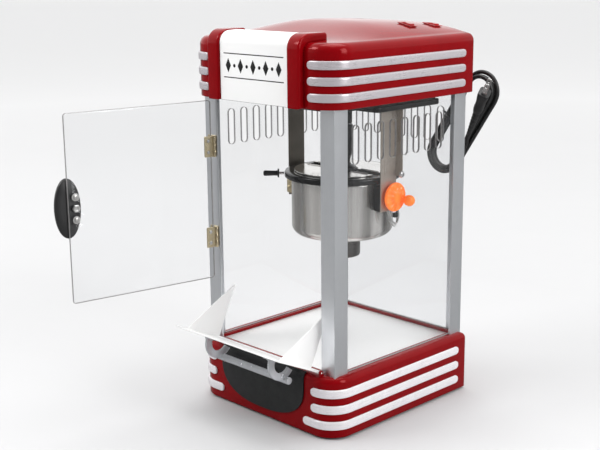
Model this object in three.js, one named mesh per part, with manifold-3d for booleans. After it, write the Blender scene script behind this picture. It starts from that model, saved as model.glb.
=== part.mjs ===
// Table-top popcorn maker: a red hood and base joined by four aluminium posts, clear
// windows, a hinged clear door, a tilt-out serving tray and a tipping kettle with a stirrer.
// Units are millimetres. +Z is up, the door side faces -Y, and the origin is the centre of
// the underside, on the bottom pan. The door and the tray stand open, as the part rests.

import * as THREE from 'three';
import { mergeVertices } from 'three/addons/utils/BufferGeometryUtils.js';
import Module from 'manifold-3d';

const wasm = await Module();
wasm.setup();

// ---- Driving dimensions ----

const gap = 0.3;                 // air left between neighbouring pieces
const body = { halfWidth: 120, halfDepth: 126, frontRadius: 30, rearRadius: 5 };
const base = { top: 74, lip: 8, wall: 2.5, deck: 4 };
const hood = { bottom: 387, edge: 460, rise: 17, rim: 10, wall: 2.5, grow: 0.75, frontRadius: 32 };
const floorOpening = { x: 102, front: -104, rear: 115 };
const post = { x: 111, front: -113, rear: 123.5, leg: 22, wall: 2.5, bottom: 60, top: 393 };
const pane = { thick: 2.7, bottom: base.top + gap, top: 393, sideRear: 117.4 };
const slot = { count: 8, pitch: 21.4, width: 9.6, height: 45, middle: 343.5 };
const strip = { thick: 2, sideEnd: 107 };
const baseStrips = { height: 10.5, levels: [54.8, 35.1, 15.5], frontEnds: [85, 85, 72] };
const hoodStrips = { height: 9.7, levels: [436.2, 418.3, 400.2], frontEnds: [84, 84, 84] };
const rail = { inner: 58, outer: 78, front: -135, top: 469.5, bend: 17, rear: -89 };
const sign = { halfWidth: 57.6, front: -132, top: 468, bend: 14, rear: -105 };
const plaque = { halfWidth: 73, bottom: 10.5, shoulder: 55, thick: 1.7, rear: -121.5 };
const foot = { radius: 9, bottom: -2.5, x: 92, y: 96, stem: 3 };
const panField = { x: 78, y: 82, drop: 0.6 };      // the pan's middle, pressed down to z 0
const door = { x: -91.5, y: -116, open: 99.5, start: 3, width: 193, thick: 2.8, bottom: 157, top: 382 };
const hinge = { height: 26, levels: [197, 312], leaf: 12, barrel: 2.2, pin: 1 };
const pull = { x: 194.5, z: 271, halfWidth: 16, halfHeight: 35.5, boltPitch: 27 };
const tray = { y: -119.5, z: 78, rise: 25, halfWidth: 92, length: 73, thick: 1.6 };
const gusset = { x: 82, thick: 1.5, from: 6, to: 61, depth: 70 };
const trayPull = {
  armX: 58, armWidth: 3.5, padWidth: 12, overhang: 7, barRadius: 4.4, barV: 15, barN: -20.5,
  outer: 21, inner: 12, bowV: 29, bowN: 3, footTop: 53, footBottom: 38,
};
const kettle = { y: 17, z: 268, radius: 64.5, bottom: 208, top: 281, wall: 1.5, corner: 12 };
const collar = { inner: 58, outer: 73, bottom: kettle.top + gap, top: 289 };
const hub = { radius: 9.8, top: 309.6, flange: 18, flangeTop: 294, bore: 7.9 };
const lid = { radius: 61, bottom: 289.4, thick: 1.6, hingeY: 9.8, hingeZ: 290.8, barrel: 1.3, notch: 20 };
const stirrer = { radius: 7.5, top: 348.2, thin: 3, bottom: 211.5, arm: 46 };
const coupling = { radius: 12.5, bottom: 349, shoulder: 376, neck: 6, top: 400.7 };
const hanger = { x: 79, thick: 1.5, front: 0, rear: 28, bottom: 248, top: 380.7, hole: 5.5, pin: 5 };
const pan = { bottom: 381, top: 396, x: 101, front: -100, rear: 76, wall: 1.5, rimX: 105 };
const lamp = { x: -50, y: -35 };
const heater = { radius: 23, bottom: 178, wall: 1.5 };
const grip = { angle: 225, start: 73.4, rodEnd: 80, end: 100, z: 285, radius: 3.6 };
const knob = { axle: 5, disc: 18, discAt: [2.5, -2.5], ball: 7, ballAt: [16, -7.5], end: 104.5 };
const rocker = { x: 78, places: [48, 95], length: 15.4, width: 8, tip: 8 };
const bezel = { length: 21, width: 13.4, bodyLength: 18.4, bodyWidth: 10.9, proud: 1.6, depth: 8 };
const lead = { radius: 2.7, gland: [64, hood.bottom + 33] };
const hank = { x: 67, y: 175, z: 338, lean: 33, run: 104, bend: 21.5, half: 5.75, thick: 11.5 };
const plug = { x: 110, y: 156, z: 370, lean: 31, tip: 13, twist: -60, length: 34, width: 21, thick: 15, boot: 44 };

const colours = {
  red: 0xa3121a, silver: 0xd8d8dc, white: 0xf2f2ef, charcoal: 0x26262a, black: 0x101012,
  aluminium: 0xb4b7bb, clear: 0xe8eeee, steel: 0xa9a59c, brass: 0xb39a62, orange: 0xff6a2c,
  frosted: 0xdcdfe4, cream: 0xf0ead8,
};
const degrees = Math.PI / 180;

// ---- Solids ----

function toSolid(geometry) {
  const bare = geometry.clone();
  bare.deleteAttribute('normal');
  bare.deleteAttribute('uv');
  const merged = mergeVertices(bare);
  return new wasm.Manifold(new wasm.Mesh({
    numProp: 3,
    vertProperties: Float32Array.from(merged.attributes.position.array),
    triVerts: Uint32Array.from(merged.index.array),
  }));
}

function toGeometry(solid) {
  const mesh = solid.getMesh();
  const geometry = new THREE.BufferGeometry();
  geometry.setAttribute('position', new THREE.BufferAttribute(mesh.vertProperties, 3));
  geometry.setIndex(new THREE.BufferAttribute(mesh.triVerts, 1));
  return geometry;
}

function cut(stock, ...tools) {
  return toGeometry(tools.reduce((solid, tool) => solid.subtract(toSolid(tool)), toSolid(stock)));
}

function join(...pieces) {
  const solids = pieces.map(toSolid);
  return toGeometry(solids.reduce((whole, piece) => whole.add(piece)));
}

function common(first, second) {
  return toGeometry(toSolid(first).intersect(toSolid(second)));
}

// A box between limits on each axis.
function block([x0, x1], [y0, y1], [z0, z1]) {
  const geometry = new THREE.BoxGeometry(x1 - x0, y1 - y0, z1 - z0);
  return geometry.translate((x0 + x1) / 2, (y0 + y1) / 2, (z0 + z1) / 2);
}

// A round bar along 'x', 'y' or 'z', from one end to the other, through the given centre.
function bar(axis, radius, [from, to], [x, y, z], sides = 24) {
  const geometry = new THREE.CylinderGeometry(radius, radius, to - from, sides);
  if (axis === 'x') geometry.rotateZ(-90 * degrees).translate((from + to) / 2, y, z);
  if (axis === 'y') geometry.translate(x, (from + to) / 2, z);
  if (axis === 'z') geometry.rotateX(90 * degrees).translate(x, y, (from + to) / 2);
  return geometry;
}

// A turned piece about the vertical: the profile's points are [radius, height].
function turned(profile, sides = 32) {
  const points = profile.map(([radius, height]) => new THREE.Vector2(radius, height));
  return new THREE.LatheGeometry(points, sides).rotateX(90 * degrees);
}

function arc(centreX, centreY, radius, startDeg, endDeg, steps) {
  return Array.from({ length: steps + 1 }, (_, i) => {
    const angle = (startDeg + (endDeg - startDeg) * i / steps) * degrees;
    return [centreX + radius * Math.cos(angle), centreY + radius * Math.sin(angle)];
  });
}

// A pair of limits on the right, or the same pair mirrored to the left where side is -1.
function mirrored(side, [from, to]) {
  return side < 0 ? [-to, -from] : [from, to];
}

function outline(points) {
  return new THREE.Shape(points.map(([x, y]) => new THREE.Vector2(x, y)));
}

// A shape drawn in the XY plane, pulled up from z0 to z1.
function pulledUp(shape, z0, z1) {
  const geometry = new THREE.ExtrudeGeometry(shape, { depth: z1 - z0, bevelEnabled: false, curveSegments: 8 });
  return geometry.translate(0, 0, z0);
}

// A shape drawn in the YZ plane, pulled along X from x0 to x1.
function pulledAcross(shape, x0, x1) {
  const turn = new THREE.Matrix4().makeBasis(
    new THREE.Vector3(0, 1, 0), new THREE.Vector3(0, 0, 1), new THREE.Vector3(1, 0, 0));
  return pulledUp(shape, x0, x1).applyMatrix4(turn);
}

// A shape drawn in the XZ plane, pulled along Y from y0 to y1.
function pulledBack(shape, y0, y1) {
  return pulledUp(shape, -y1, -y0).rotateX(90 * degrees);
}

// A closed skin over rings of equally many points, each ring above the last.
function loft(rings) {
  const count = rings[0].length;
  const centre = (ring) => ring
    .reduce((sum, point) => sum.add(point), new THREE.Vector3())
    .divideScalar(count);
  const points = [...rings.flat(), centre(rings[0]), centre(rings[rings.length - 1])];
  const bottom = points.length - 2;
  const faces = [];
  for (let i = 0; i < count; i += 1) {
    const next = (i + 1) % count;
    faces.push(bottom, next, i);
    for (let level = 0; level < rings.length - 1; level += 1) {
      const low = level * count;
      const high = low + count;
      faces.push(low + i, low + next, high + next, low + i, high + next, high + i);
    }
    const last = (rings.length - 1) * count;
    faces.push(bottom + 1, last + i, last + next);
  }
  const geometry = new THREE.BufferGeometry().setFromPoints(points);
  geometry.setIndex(faces);
  return geometry;
}

// ---- Plan outline of the hood and the base ----

// Points round the plan, anticlockwise, at a distance inside the full outline.
function planPoints(halfWidth, halfDepth, frontRadius, rearRadius, inset, sideSteps = 1) {
  const corners = [[1, -1, frontRadius, -90, 7], [1, 1, rearRadius, 0, 2],
    [-1, 1, rearRadius, 90, 2], [-1, -1, frontRadius, 180, 7]];
  const smallest = 0.5;
  const arcs = corners.map(([sideX, sideY, radius, start, steps]) => {
    const held = Math.max(radius, inset + smallest);
    const centreX = sideX * (halfWidth - held);
    const centreY = sideY * (halfDepth - held);
    return arc(centreX, centreY, held - inset, start, start + 90, steps);
  });
  const points = [];
  arcs.forEach((points0, i) => {
    points.push(...points0);
    const [x0, y0] = points0[points0.length - 1];
    const [x1, y1] = arcs[(i + 1) % arcs.length][0];
    for (let k = 1; k < sideSteps; k += 1) {
      points.push([x0 + (x1 - x0) * k / sideSteps, y0 + (y1 - y0) * k / sideSteps]);
    }
  });
  return points;
}

function basePlan(inset) {
  return planPoints(body.halfWidth, body.halfDepth, body.frontRadius, body.rearRadius, inset);
}

function hoodPlan(inset) {
  return planPoints(body.halfWidth + hood.grow, body.halfDepth + hood.grow,
    hood.frontRadius, body.rearRadius, inset, 6);
}

function level(points, height) {
  return points.map(([x, y]) => new THREE.Vector3(x, y, typeof height === 'number' ? height : height(x, y)));
}

// ---- Base ----

// The base's outer form with its rolled top edge, taken in by the inset.
function baseForm(inset, bottom) {
  const rings = [level(basePlan(inset), bottom)];
  for (const [back, up] of arc(0, 0, base.lip - inset, 0, 90, 4)) {
    rings.push(level(basePlan(base.lip - back), base.top - base.lip + up));
  }
  return loft(rings);
}

// The L of a post, seen from above, grown all round by a clearance.
function postOutline(sideX, sideY, grow = 0) {
  const x = post.x + grow;
  const y = (sideY < 0 ? -post.front : post.rear) + grow;
  const leg = post.leg + 2 * grow;
  const wall = post.wall + 2 * grow;
  return outline([[x, y], [x - leg, y], [x - leg, y - wall], [x - wall, y - wall], [x - wall, y - leg],
    [x, y - leg]].map(([px, py]) => [sideX * px, sideY * py]));
}

const corners = [['front_left', -1, -1], ['front_right', 1, -1], ['rear_left', -1, 1], ['rear_right', 1, 1]];

function baseShell() {
  const inside = loft([-1, base.top - base.deck].map((z) => level(basePlan(base.wall), z)));
  const opening = block([-floorOpening.x, floorOpening.x], [floorOpening.front, floorOpening.rear],
    [base.top - base.deck - 1, base.top + 1]);
  const sockets = corners.map(([, sideX, sideY]) => pulledUp(postOutline(sideX, sideY, 0.4),
    base.top - base.deck - 1, base.top + 1));
  const shell = cut(baseForm(0, 0), inside, opening, ...sockets);
  // Two ears on the front edge carry the tray's pins.
  const ears = [-1, 1].map((side) => {
    const ear = outline([[tray.y - 2.6, base.top - 3], [tray.y + 3.4, base.top - 3],
      ...arc(tray.y, tray.z, 2.6, 0, 180, 8)]);
    const limits = mirrored(side, [tray.halfWidth + 1, tray.halfWidth + 4.5]);
    const hole = bar('x', 1.5, [limits[0] - 1, limits[1] + 1], [0, tray.y, tray.z], 16);
    return cut(pulledAcross(ear, ...limits), hole);
  });
  return join(shell, ...ears);
}

function bottomPan() {
  const inset = base.wall + 0.7;
  const border = loft([panField.drop, 2.5].map((z) => level(basePlan(inset), z)));
  const field = block([-panField.x, panField.x], [-panField.y, panField.y], [0, 2]);
  const plate = join(border, field);
  const holes = corners.map(([, sideX, sideY]) => bar('z', foot.stem + 0.4, [-1, 4],
    [sideX * foot.x, sideY * foot.y, 0], 16));
  return cut(plate, ...holes);
}

function footPiece() {
  return turned([[0, foot.bottom], [foot.radius - 1, foot.bottom], [foot.radius, foot.bottom + 1],
    [foot.radius, panField.drop - gap], [foot.stem, panField.drop - gap], [foot.stem, 4], [0, 4]], 24);
}

function cabinetFloor() {
  const top = base.top - base.deck - gap;
  return block([-106, 106], [-108, 118.5], [top - 2, top]);
}

// The plaque hugs the front and the rolled edge: a skin of the base's form, trimmed to a U.
function basePlaque() {
  const skin = cut(baseForm(-plaque.thick - gap, 0), baseForm(-gap, -1));
  const depth = plaque.shoulder - plaque.bottom;
  const power = 2.5;
  const steps = 28;
  const curve = Array.from({ length: steps + 1 }, (_, i) => {
    const angle = Math.PI * i / steps;
    const x = Math.cos(angle);
    const z = Math.sin(angle);
    return [plaque.halfWidth * Math.sign(x) * Math.abs(x) ** (2 / power),
      plaque.shoulder - depth * z ** (2 / power)];
  });
  const shape = outline([[-plaque.halfWidth, base.top + 6], [plaque.halfWidth, base.top + 6], ...curve]);
  return common(skin, pulledBack(shape, -140, plaque.rear));
}

// ---- Trim strips: bars that run back along one side from the front, round its corner ----

function stripPiece(side, halfWidth, halfDepth, radius, frontEnd, height) {
  const path = (out) => [
    [frontEnd, -halfDepth - out],
    ...arc(halfWidth - radius, -halfDepth + radius, radius + out, -90, 0, 10),
    [halfWidth + out, strip.sideEnd],
  ];
  const points = [...path(gap), ...path(gap + strip.thick).reverse()];
  const shape = outline(points.map(([x, y]) => [side * x, y]));
  return pulledUp(shape, -height / 2, height / 2);
}

// ---- Hood ----

function smooth(t) {
  const held = Math.min(Math.max(t, 0), 1);
  return held * held * (3 - 2 * held);
}

// Roof height: low at the front, highest past the middle, still arched at the rear edge.
function roofHeight(x, y) {
  const halfWidth = body.halfWidth + hood.grow - hood.rim;
  const front = -body.halfDepth - hood.grow + hood.rim;
  const crest = 5;
  const across = 1 - Math.min(Math.abs(x) / halfWidth, 1) ** 3.2;
  const fall = Math.max(y - crest, 0) / (-front - crest);
  const along = smooth((y - front) / (crest - front)) * (1 - 0.4 * Math.min(fall, 1) ** 2);
  return hood.edge + hood.rise * across * along;
}

// The hood's form, or its hollow when the inset is the wall.
function hoodForm(inset, bottom) {
  const wall = hoodPlan(inset);
  const rings = [level(wall, bottom)];
  for (const [back, up] of arc(0, 0, hood.rim - inset, 0, 90, 3)) {
    rings.push(level(hoodPlan(hood.rim - back), (x, y) => roofHeight(x, y) - hood.rim + up));
  }
  const top = hoodPlan(hood.rim);
  for (const scale of [0.86, 0.7, 0.5, 0.25]) {
    rings.push(level(top.map(([x, y]) => [x * scale, y * scale]), (x, y) => roofHeight(x, y) - inset));
  }
  return loft(rings);
}

// One raised rail up the front and over the edge, its back sunk in the hood's wall.
function railPiece(side) {
  const edgeY = -body.halfDepth - hood.grow + hood.rim;
  const edgeZ = hood.edge - hood.rim;
  const sunk = hood.rim - hood.wall / 2;
  const end = 3;
  const profile = outline([
    [rail.front, hood.bottom],
    ...arc(rail.front + rail.bend, rail.top - rail.bend, rail.bend, 180, 90, 7),
    ...arc(rail.rear - end, rail.top - end, end, 90, 0, 3),
    [rail.rear, hood.edge + 0.6],
    ...arc(edgeY, edgeZ, sunk, 90, 180, 4),
    [edgeY - sunk, hood.bottom],
  ]);
  return pulledAcross(profile, ...mirrored(side, [rail.inner, rail.outer]));
}

// Moves a piece made about the origin onto the roof, tipped to lie along it.
function onRoof(x, y) {
  const step = 2;
  const slopeX = (roofHeight(x + step, y) - roofHeight(x - step, y)) / (2 * step);
  const slopeY = (roofHeight(x, y + step) - roofHeight(x, y - step)) / (2 * step);
  const normal = new THREE.Vector3(-slopeX, -slopeY, 1).normalize();
  const along = new THREE.Vector3(1, 0, slopeX).normalize();
  const across = new THREE.Vector3().crossVectors(normal, along);
  return new THREE.Matrix4().makeBasis(along, across, normal).setPosition(x, y, roofHeight(x, y));
}

function hoodShell() {
  const outer = join(hoodForm(0, hood.bottom), railPiece(-1), railPiece(1));
  const openings = rocker.places.map((y) => block(
    [-bezel.bodyLength / 2 - gap, bezel.bodyLength / 2 + gap],
    [-bezel.bodyWidth / 2 - gap, bezel.bodyWidth / 2 + gap], [-12, 6]).applyMatrix4(onRoof(rocker.x, y)));
  const glandHole = bar('y', 6.8, [110, 140], [lead.gland[0], 0, lead.gland[1]], 20);
  return cut(outer, hoodForm(hood.wall, hood.bottom - 1), ...openings, glandHole);
}

function signPanel() {
  const edgeY = -body.halfDepth - hood.grow + hood.rim;
  const edgeZ = hood.edge - hood.rim;
  const clear = hood.rim + gap + 0.1;
  const profile = outline([
    [sign.front, hood.bottom + 0.5],
    ...arc(sign.front + sign.bend, sign.top - sign.bend, sign.bend, 180, 90, 7),
    [sign.rear, sign.top + 0.5],
    [sign.rear, hood.edge + 1.6],
    ...arc(edgeY, edgeZ, clear, 90, 180, 5),
    [edgeY - clear, hood.bottom + 0.5],
  ]);
  return pulledAcross(profile, -sign.halfWidth, sign.halfWidth);
}

// The dark pan that closes the hood, sunk where it houses the drive.
function hoodPan() {
  const rim = block([-pan.rimX, pan.rimX], [-109, 117.5], [pan.top - 2, pan.top]);
  const well = block([-pan.x, pan.x], [pan.front, pan.rear], [pan.bottom, pan.top - 1]);
  const hollow = block([-pan.x + pan.wall, pan.x - pan.wall],
    [pan.front + pan.wall, pan.rear - pan.wall], [pan.bottom + pan.wall, pan.top + 1]);
  const shaftHole = bar('z', coupling.radius + 1, [pan.bottom - 1, pan.bottom + 3], [0, kettle.y, 0], 32);
  return cut(join(rim, well), hollow, shaftHole);
}

function gearMotor() {
  const gearbox = block([-34, 34], [kettle.y - 26, kettle.y + 34], [coupling.top + gap, 420]);
  const can = bar('z', 27, [419, 446], [0, kettle.y + 4, 0], 28);
  return join(gearbox, can);
}

function lampLens() {
  return turned([[0, 372], [12, 372.6], [20, 375], [22, 378], [22, pan.bottom - gap],
    [0, pan.bottom - gap]], 28);
}

// ---- Switches ----

// Both switch pieces are made about the point of the roof that they sit on.
function bezelPiece() {
  const flange = block([-bezel.length / 2, bezel.length / 2], [-bezel.width / 2, bezel.width / 2],
    [0.6, bezel.proud]);
  const neck = block([-bezel.bodyLength / 2, bezel.bodyLength / 2],
    [-bezel.bodyWidth / 2, bezel.bodyWidth / 2], [-bezel.depth, bezel.proud]);
  const well = block([-rocker.length / 2 - 0.5, rocker.length / 2 + 0.5],
    [-rocker.width / 2 - 0.4, rocker.width / 2 + 0.4], [-bezel.depth + 1.2, bezel.proud + 1]);
  return cut(join(flange, neck), well);
}

// The rocker tips about its middle; it rests with its left end down.
function rockerPiece() {
  const half = rocker.length / 2;
  const shape = outline([[-half, 2], [-half, -1.4], [0, -3.6], [half, -1.4], [half, 2], [0, 3.2]]);
  return pulledBack(shape, -rocker.width / 2, rocker.width / 2).rotateY(-rocker.tip * degrees);
}

// ---- Windows ----

function paneShape(low, high, middle) {
  const shape = outline([[low, pane.bottom], [high, pane.bottom], [high, pane.top], [low, pane.top]]);
  const reach = (slot.height - slot.width) / 2;
  for (let i = 0; i < slot.count; i += 1) {
    const across = middle + (i - (slot.count - 1) / 2) * slot.pitch;
    const points = [...arc(across, slot.middle + reach, slot.width / 2, 0, 180, 6),
      ...arc(across, slot.middle - reach, slot.width / 2, 180, 360, 6)];
    shape.holes.push(new THREE.Path(points.map(([x, y]) => new THREE.Vector2(x, y))));
  }
  return shape;
}

function sidePane(side) {
  const outside = post.x - post.wall - gap;
  const limits = mirrored(side, [outside - pane.thick, outside]);
  return pulledAcross(paneShape(post.front + post.wall + gap, pane.sideRear, 1), ...limits);
}

function rearPane() {
  const rear = post.rear - post.wall - gap;
  const reach = post.x - post.wall - gap;
  return pulledBack(paneShape(-reach, reach, 0), rear - pane.thick, rear);
}

// ---- Door: made closed, about its hinge line ----

const doorInner = -1.3;          // the panel's inner face, when closed, from the hinge line
const boltLevels = [-1, 1].map((side) => pull.z + side * pull.boltPitch / 2);

function doorPanel() {
  const face = [doorInner - door.thick, doorInner];
  const sheet = block([door.start, door.start + door.width], face, [door.bottom, door.top]);
  const holes = [...boltLevels, pull.z].map((z) => bar('y', 2.6, [-8, 2], [pull.x - 8, 0, z], 16));
  return cut(sheet, ...holes);
}

// An oval pull outside the free edge, bolted through, with the catch magnet on the inside.
function doorHandle() {
  const outerFace = doorInner - door.thick - gap;
  const oval = Array.from({ length: 28 }, (_, i) => {
    const angle = i / 28 * 360 * degrees;
    return [pull.x + pull.halfWidth * Math.cos(angle), pull.z + pull.halfHeight * Math.sin(angle)];
  });
  const plate = pulledBack(outline(oval), outerFace - 5, outerFace);
  const parts = [plate];
  for (const z of boltLevels) {
    parts.push(bar('y', 1.8, [outerFace - 1, doorInner + 1], [pull.x - 8, 0, z], 12));
    parts.push(bar('y', 3.2, [doorInner + gap, doorInner + 2], [pull.x - 8, 0, z], 16));
  }
  parts.push(bar('y', 2.2, [outerFace - 1, doorInner + 1], [pull.x - 8, 0, pull.z], 12));
  parts.push(bar('y', 5, [doorInner + gap, doorInner + 3], [pull.x - 8, 0, pull.z], 6));
  return join(...parts);
}

// Leaf screwed to the post: the outer knuckles and the pin.
function postLeaf() {
  const third = hinge.height / 3;
  const plate = block([-2 - hinge.leaf, -1.2], [1.6, 2.7], [0, hinge.height]);
  const middle = block([-2.6, 3], [-3, 3], [third - gap, 2 * third + gap]);
  const knuckles = cut(join(plate, bar('z', hinge.barrel, [0, hinge.height], [0, 0, 0], 16)), middle);
  return join(knuckles, bar('z', hinge.pin, [1, hinge.height - 1], [0, 0, 0], 12));
}

// Leaf screwed to the door: the middle knuckle.
function doorLeaf() {
  const third = hinge.height / 3;
  const plate = block([1.5, 2 + hinge.leaf], [-1, 0.1], [0, hinge.height]);
  const ends = [[-1, third + gap], [2 * third - gap, hinge.height + 1]]
    .map((limits) => block([-3, 2.8], [-3, 3], limits));
  const barrel = bar('z', hinge.barrel, [0, hinge.height], [0, 0, 0], 16);
  const bore = bar('z', hinge.pin + 0.25, [-1, hinge.height + 1], [0, 0, 0], 12);
  return cut(join(plate, barrel), ...ends, bore);
}

// ---- Tray: made closed, standing up from its pin line ----

function trayFlap() {
  const reach = tray.halfWidth;
  const half = tray.thick / 2;
  const parts = [
    block([-reach, reach], [-half, half], [0.5, tray.length]),
    bar('x', 1.9, [-reach, reach], [0, 0, 0], 16),
    bar('x', 1.1, [-reach - 4, reach + 4], [0, 0, 0], 12),
  ];
  for (const side of [-1, 1]) {
    const triangle = outline([[0, gusset.from], [gusset.depth, gusset.from],
      [gusset.depth - 2, gusset.from + 3], [0, gusset.to]]);
    parts.push(pulledAcross(triangle, ...mirrored(side, [gusset.x, gusset.x + gusset.thick])));
  }
  return join(...parts);
}

// A clear pull under the tray: two curved arms and a round bar.
function trayHandle() {
  const { armX, armWidth, padWidth, outer, inner, bowV, bowN } = trayPull;
  const face = -tray.thick / 2 - gap;
  const bow = (radius) => arc(-bowN, bowV, radius, 90, 258, 9);
  const shape = outline([[face, trayPull.footTop], ...bow(outer).slice(1),
    ...bow(inner).reverse().slice(0, -1), [face, trayPull.footBottom]]);
  const parts = [bar('x', trayPull.barRadius, [-armX - trayPull.overhang, armX + trayPull.overhang],
    [0, trayPull.barN, trayPull.barV], 20)];
  for (const side of [-1, 1]) {
    const arm = [armX - armWidth, armX];
    const pad = [armX - padWidth, armX - 1];
    parts.push(pulledAcross(shape, ...mirrored(side, arm)));
    parts.push(block(mirrored(side, pad), [face - 2, face], [trayPull.footBottom + 2, trayPull.footTop - 1]));
  }
  return join(...parts);
}

// ---- Kettle: made about its own upright axis ----

function kettlePot() {
  const { radius, bottom, top, wall, corner } = kettle;
  return turned([[0, bottom], ...arc(radius - corner, bottom + corner, corner, -90, 0, 4),
    [radius, top], [radius - wall, top],
    ...arc(radius - corner, bottom + corner, corner - wall, 0, -90, 4), [0, bottom + wall]], 40);
}

function kettleCollar() {
  const ring = turned([[collar.inner, collar.bottom], [collar.outer, collar.bottom],
    [collar.outer, collar.top - 1.5], [collar.outer - 1.5, collar.top], [collar.inner, collar.top],
    [collar.inner, collar.bottom]], 40);
  const bridge = block([-60, 60], [-7.5, 7.5], [collar.bottom + 0.8, collar.top - 0.8]);
  const post0 = turned([[0, collar.bottom + 0.8], [hub.flange, collar.bottom + 3], [hub.flange, hub.flangeTop],
    [hub.radius, hub.flangeTop + 5], [hub.radius, hub.top], [0, hub.top]], 32);
  const lug = block([-hanger.x + 1.2, -66], [-9, 9], [254, collar.bottom + 1]);
  const shaftBore = bar('z', hub.bore, [collar.bottom - 1, hub.top + 1], [0, 0, 0], 32);
  const pinBore = bar('x', hanger.hole, [-hanger.x, -68], [0, 0, kettle.z], 24);
  return cut(join(ring, bridge, post0, lug), shaftBore, pinBore);
}

// Half of the lid, hinged beside the bridge: side -1 is the front half.
function lidHalf(side) {
  const plate = turned([[0, lid.bottom], [lid.radius, lid.bottom], [lid.radius, lid.bottom + lid.thick],
    [0, lid.bottom + lid.thick]], 40);
  const far = 80;
  const kept = side < 0 ? [-far, -lid.hingeY + 0.8] : [lid.hingeY - 0.8, far];
  const half = common(plate, block([-far, far], kept, [280, 300]));
  const notch = bar('z', lid.notch, [280, 300], [0, 0, 0], 32);
  const barrels = [-1, 1].map((end) => bar('x', lid.barrel, mirrored(end, [24, 52]),
    [0, side * lid.hingeY, lid.hingeZ], 12));
  return join(cut(half, notch), ...barrels);
}

function heaterHousing() {
  const { radius, bottom, wall } = heater;
  const top = kettle.bottom - gap;
  return turned([[0, bottom], [radius - 2, bottom], [radius, bottom + 2], [radius, top],
    [radius - wall, top], [radius - wall, bottom + wall + 1], [0, bottom + wall + 1]], 32);
}

function kettleSocket() {
  return block([kettle.radius + 0.7, hanger.x - 1.2], [-14, 14], [247, kettle.top - 0.4]);
}

// Grip on a steel rod, out from the collar towards the front left.
function kettleHandle() {
  const piece = turned([[0, grip.start], [1.8, grip.start], [1.8, grip.rodEnd], [5.6, grip.rodEnd],
    [5.6, grip.rodEnd + 1.8], [grip.radius, grip.rodEnd + 1.8], [grip.radius, grip.end - 3],
    [grip.radius - 1.4, grip.end], [0, grip.end]], 20);
  return piece.rotateY(90 * degrees);
}

// Tilt knob on the right pivot: axle, broad disc set off its axis, and a ball near the disc's rim.
function tiltKnob() {
  const start = hanger.x - 0.9;
  const axle = turned([[0, start], [knob.axle, start], [knob.axle, 84], [0, 84]], 28);
  const disc = turned([[0, 82.8], [knob.disc - 3, 83], [knob.disc, 85], [knob.disc, 87.5],
    [knob.disc - 4, 90], [0, 91]], 28);
  const ball = turned([[0, 88], [4, 88], ...arc(0, knob.end - knob.ball, knob.ball, -55, 90, 6)
    .map(([r, h]) => [Math.max(r, 0), h])], 28);
  const laid = (shape, [y, z]) => shape.rotateY(90 * degrees).translate(0, y, z);
  return join(laid(axle, [0, 0]), laid(disc, knob.discAt), laid(ball, knob.ballAt));
}

function stirrerPiece() {
  const shaft = turned([[0, stirrer.bottom], [stirrer.thin, stirrer.bottom], [stirrer.thin, 283],
    [stirrer.radius, 284], [stirrer.radius, stirrer.top], [0, stirrer.top]], 24);
  const armA = block([-stirrer.arm, stirrer.arm], [-2, 2], [stirrer.bottom, stirrer.bottom + 3]);
  const reach = stirrer.arm * 0.6;
  const armB = block([-2, 2], [-reach, reach], [stirrer.bottom + 8, stirrer.bottom + 11]);
  return join(shaft, armA, armB);
}

function driveCoupling() {
  const { radius, bottom, shoulder, neck, top } = coupling;
  return turned([[0, bottom], [radius, bottom], [radius, shoulder], [neck, shoulder],
    [neck, top], [0, top]], 28);
}

// A strap from the pan down to the pivot, with a stiffening flange; side 1 is the right.
function hangerPiece(side) {
  const across = (x0, x1) => mirrored(side, [x0, x1]);
  const outside = hanger.x + hanger.thick;
  const strap = block(across(hanger.x, outside), [hanger.front, hanger.rear], [hanger.bottom, hanger.top]);
  const flange = block(across(outside - 0.5, outside + 10.5),
    [hanger.rear - hanger.thick, hanger.rear], [kettle.z + knob.disc + 4, hanger.top]);
  const foot0 = block(across(outside - 0.5, outside + 10.5), [hanger.front, hanger.rear],
    [hanger.top - 1.5, hanger.top]);
  const whole = join(strap, flange, foot0);
  if (side > 0) return cut(whole, bar('x', hanger.hole, [70, 90], [0, kettle.y, kettle.z], 24));
  const pin = bar('x', hanger.pin, [-outside - 3, -hanger.x + 10.5], [0, kettle.y, kettle.z], 24);
  return join(whole, pin);
}

// ---- Cord: strain relief, lead, hank and plug ----

// Where the lead runs: straight back out of the gland, down under its own weight, into the hank.
const leadRoute = [
  [64, 151.6, 420], [64, 155.5, 419.7], [64, 160, 418.7], [64, 164.5, 416.8], [64, 168.8, 413.8],
  [64, 172.3, 409.8], [64, 175.2, 405], [64, 177.1, 399.5], [64, 177.7, 393.5], [63.8, 177.7, 386],
  [63.2, 177.7, 382], [62.1, 177.7, 378], [60.6, 177.7, 374], [58.7, 177.7, 370],
];

// A sleeve in the hood's rear wall, with a flange each side and a long taper.
function strainRelief() {
  const wallOut = body.halfDepth + hood.grow;
  const wallIn = wallOut - hood.wall;
  const bore = lead.radius + 0.35;
  const piece = turned([[bore, wallIn - 4], [8.6, wallIn - 4], [8.6, wallIn - gap], [6.3, wallIn - gap],
    [6.3, wallOut + gap], [8.4, wallOut + gap], [7.4, wallOut + 4], [4.6, wallOut + 24.5],
    [bore, wallOut + 24.5], [bore, wallIn - 4]], 24);
  return piece.rotateX(-90 * degrees).translate(lead.gland[0], 0, lead.gland[1]);
}

function hankOutline(grow) {
  const track = (radius) => [...arc(0, hank.run / 2, radius, 0, 180, 10),
    ...arc(0, -hank.run / 2, radius, 180, 360, 10)];
  const shape = outline(track(hank.bend + hank.half + grow));
  const hole = track(hank.bend - hank.half - grow).map(([x, y]) => new THREE.Vector2(x, y));
  shape.holes.push(new THREE.Path(hole));
  return shape;
}

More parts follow.
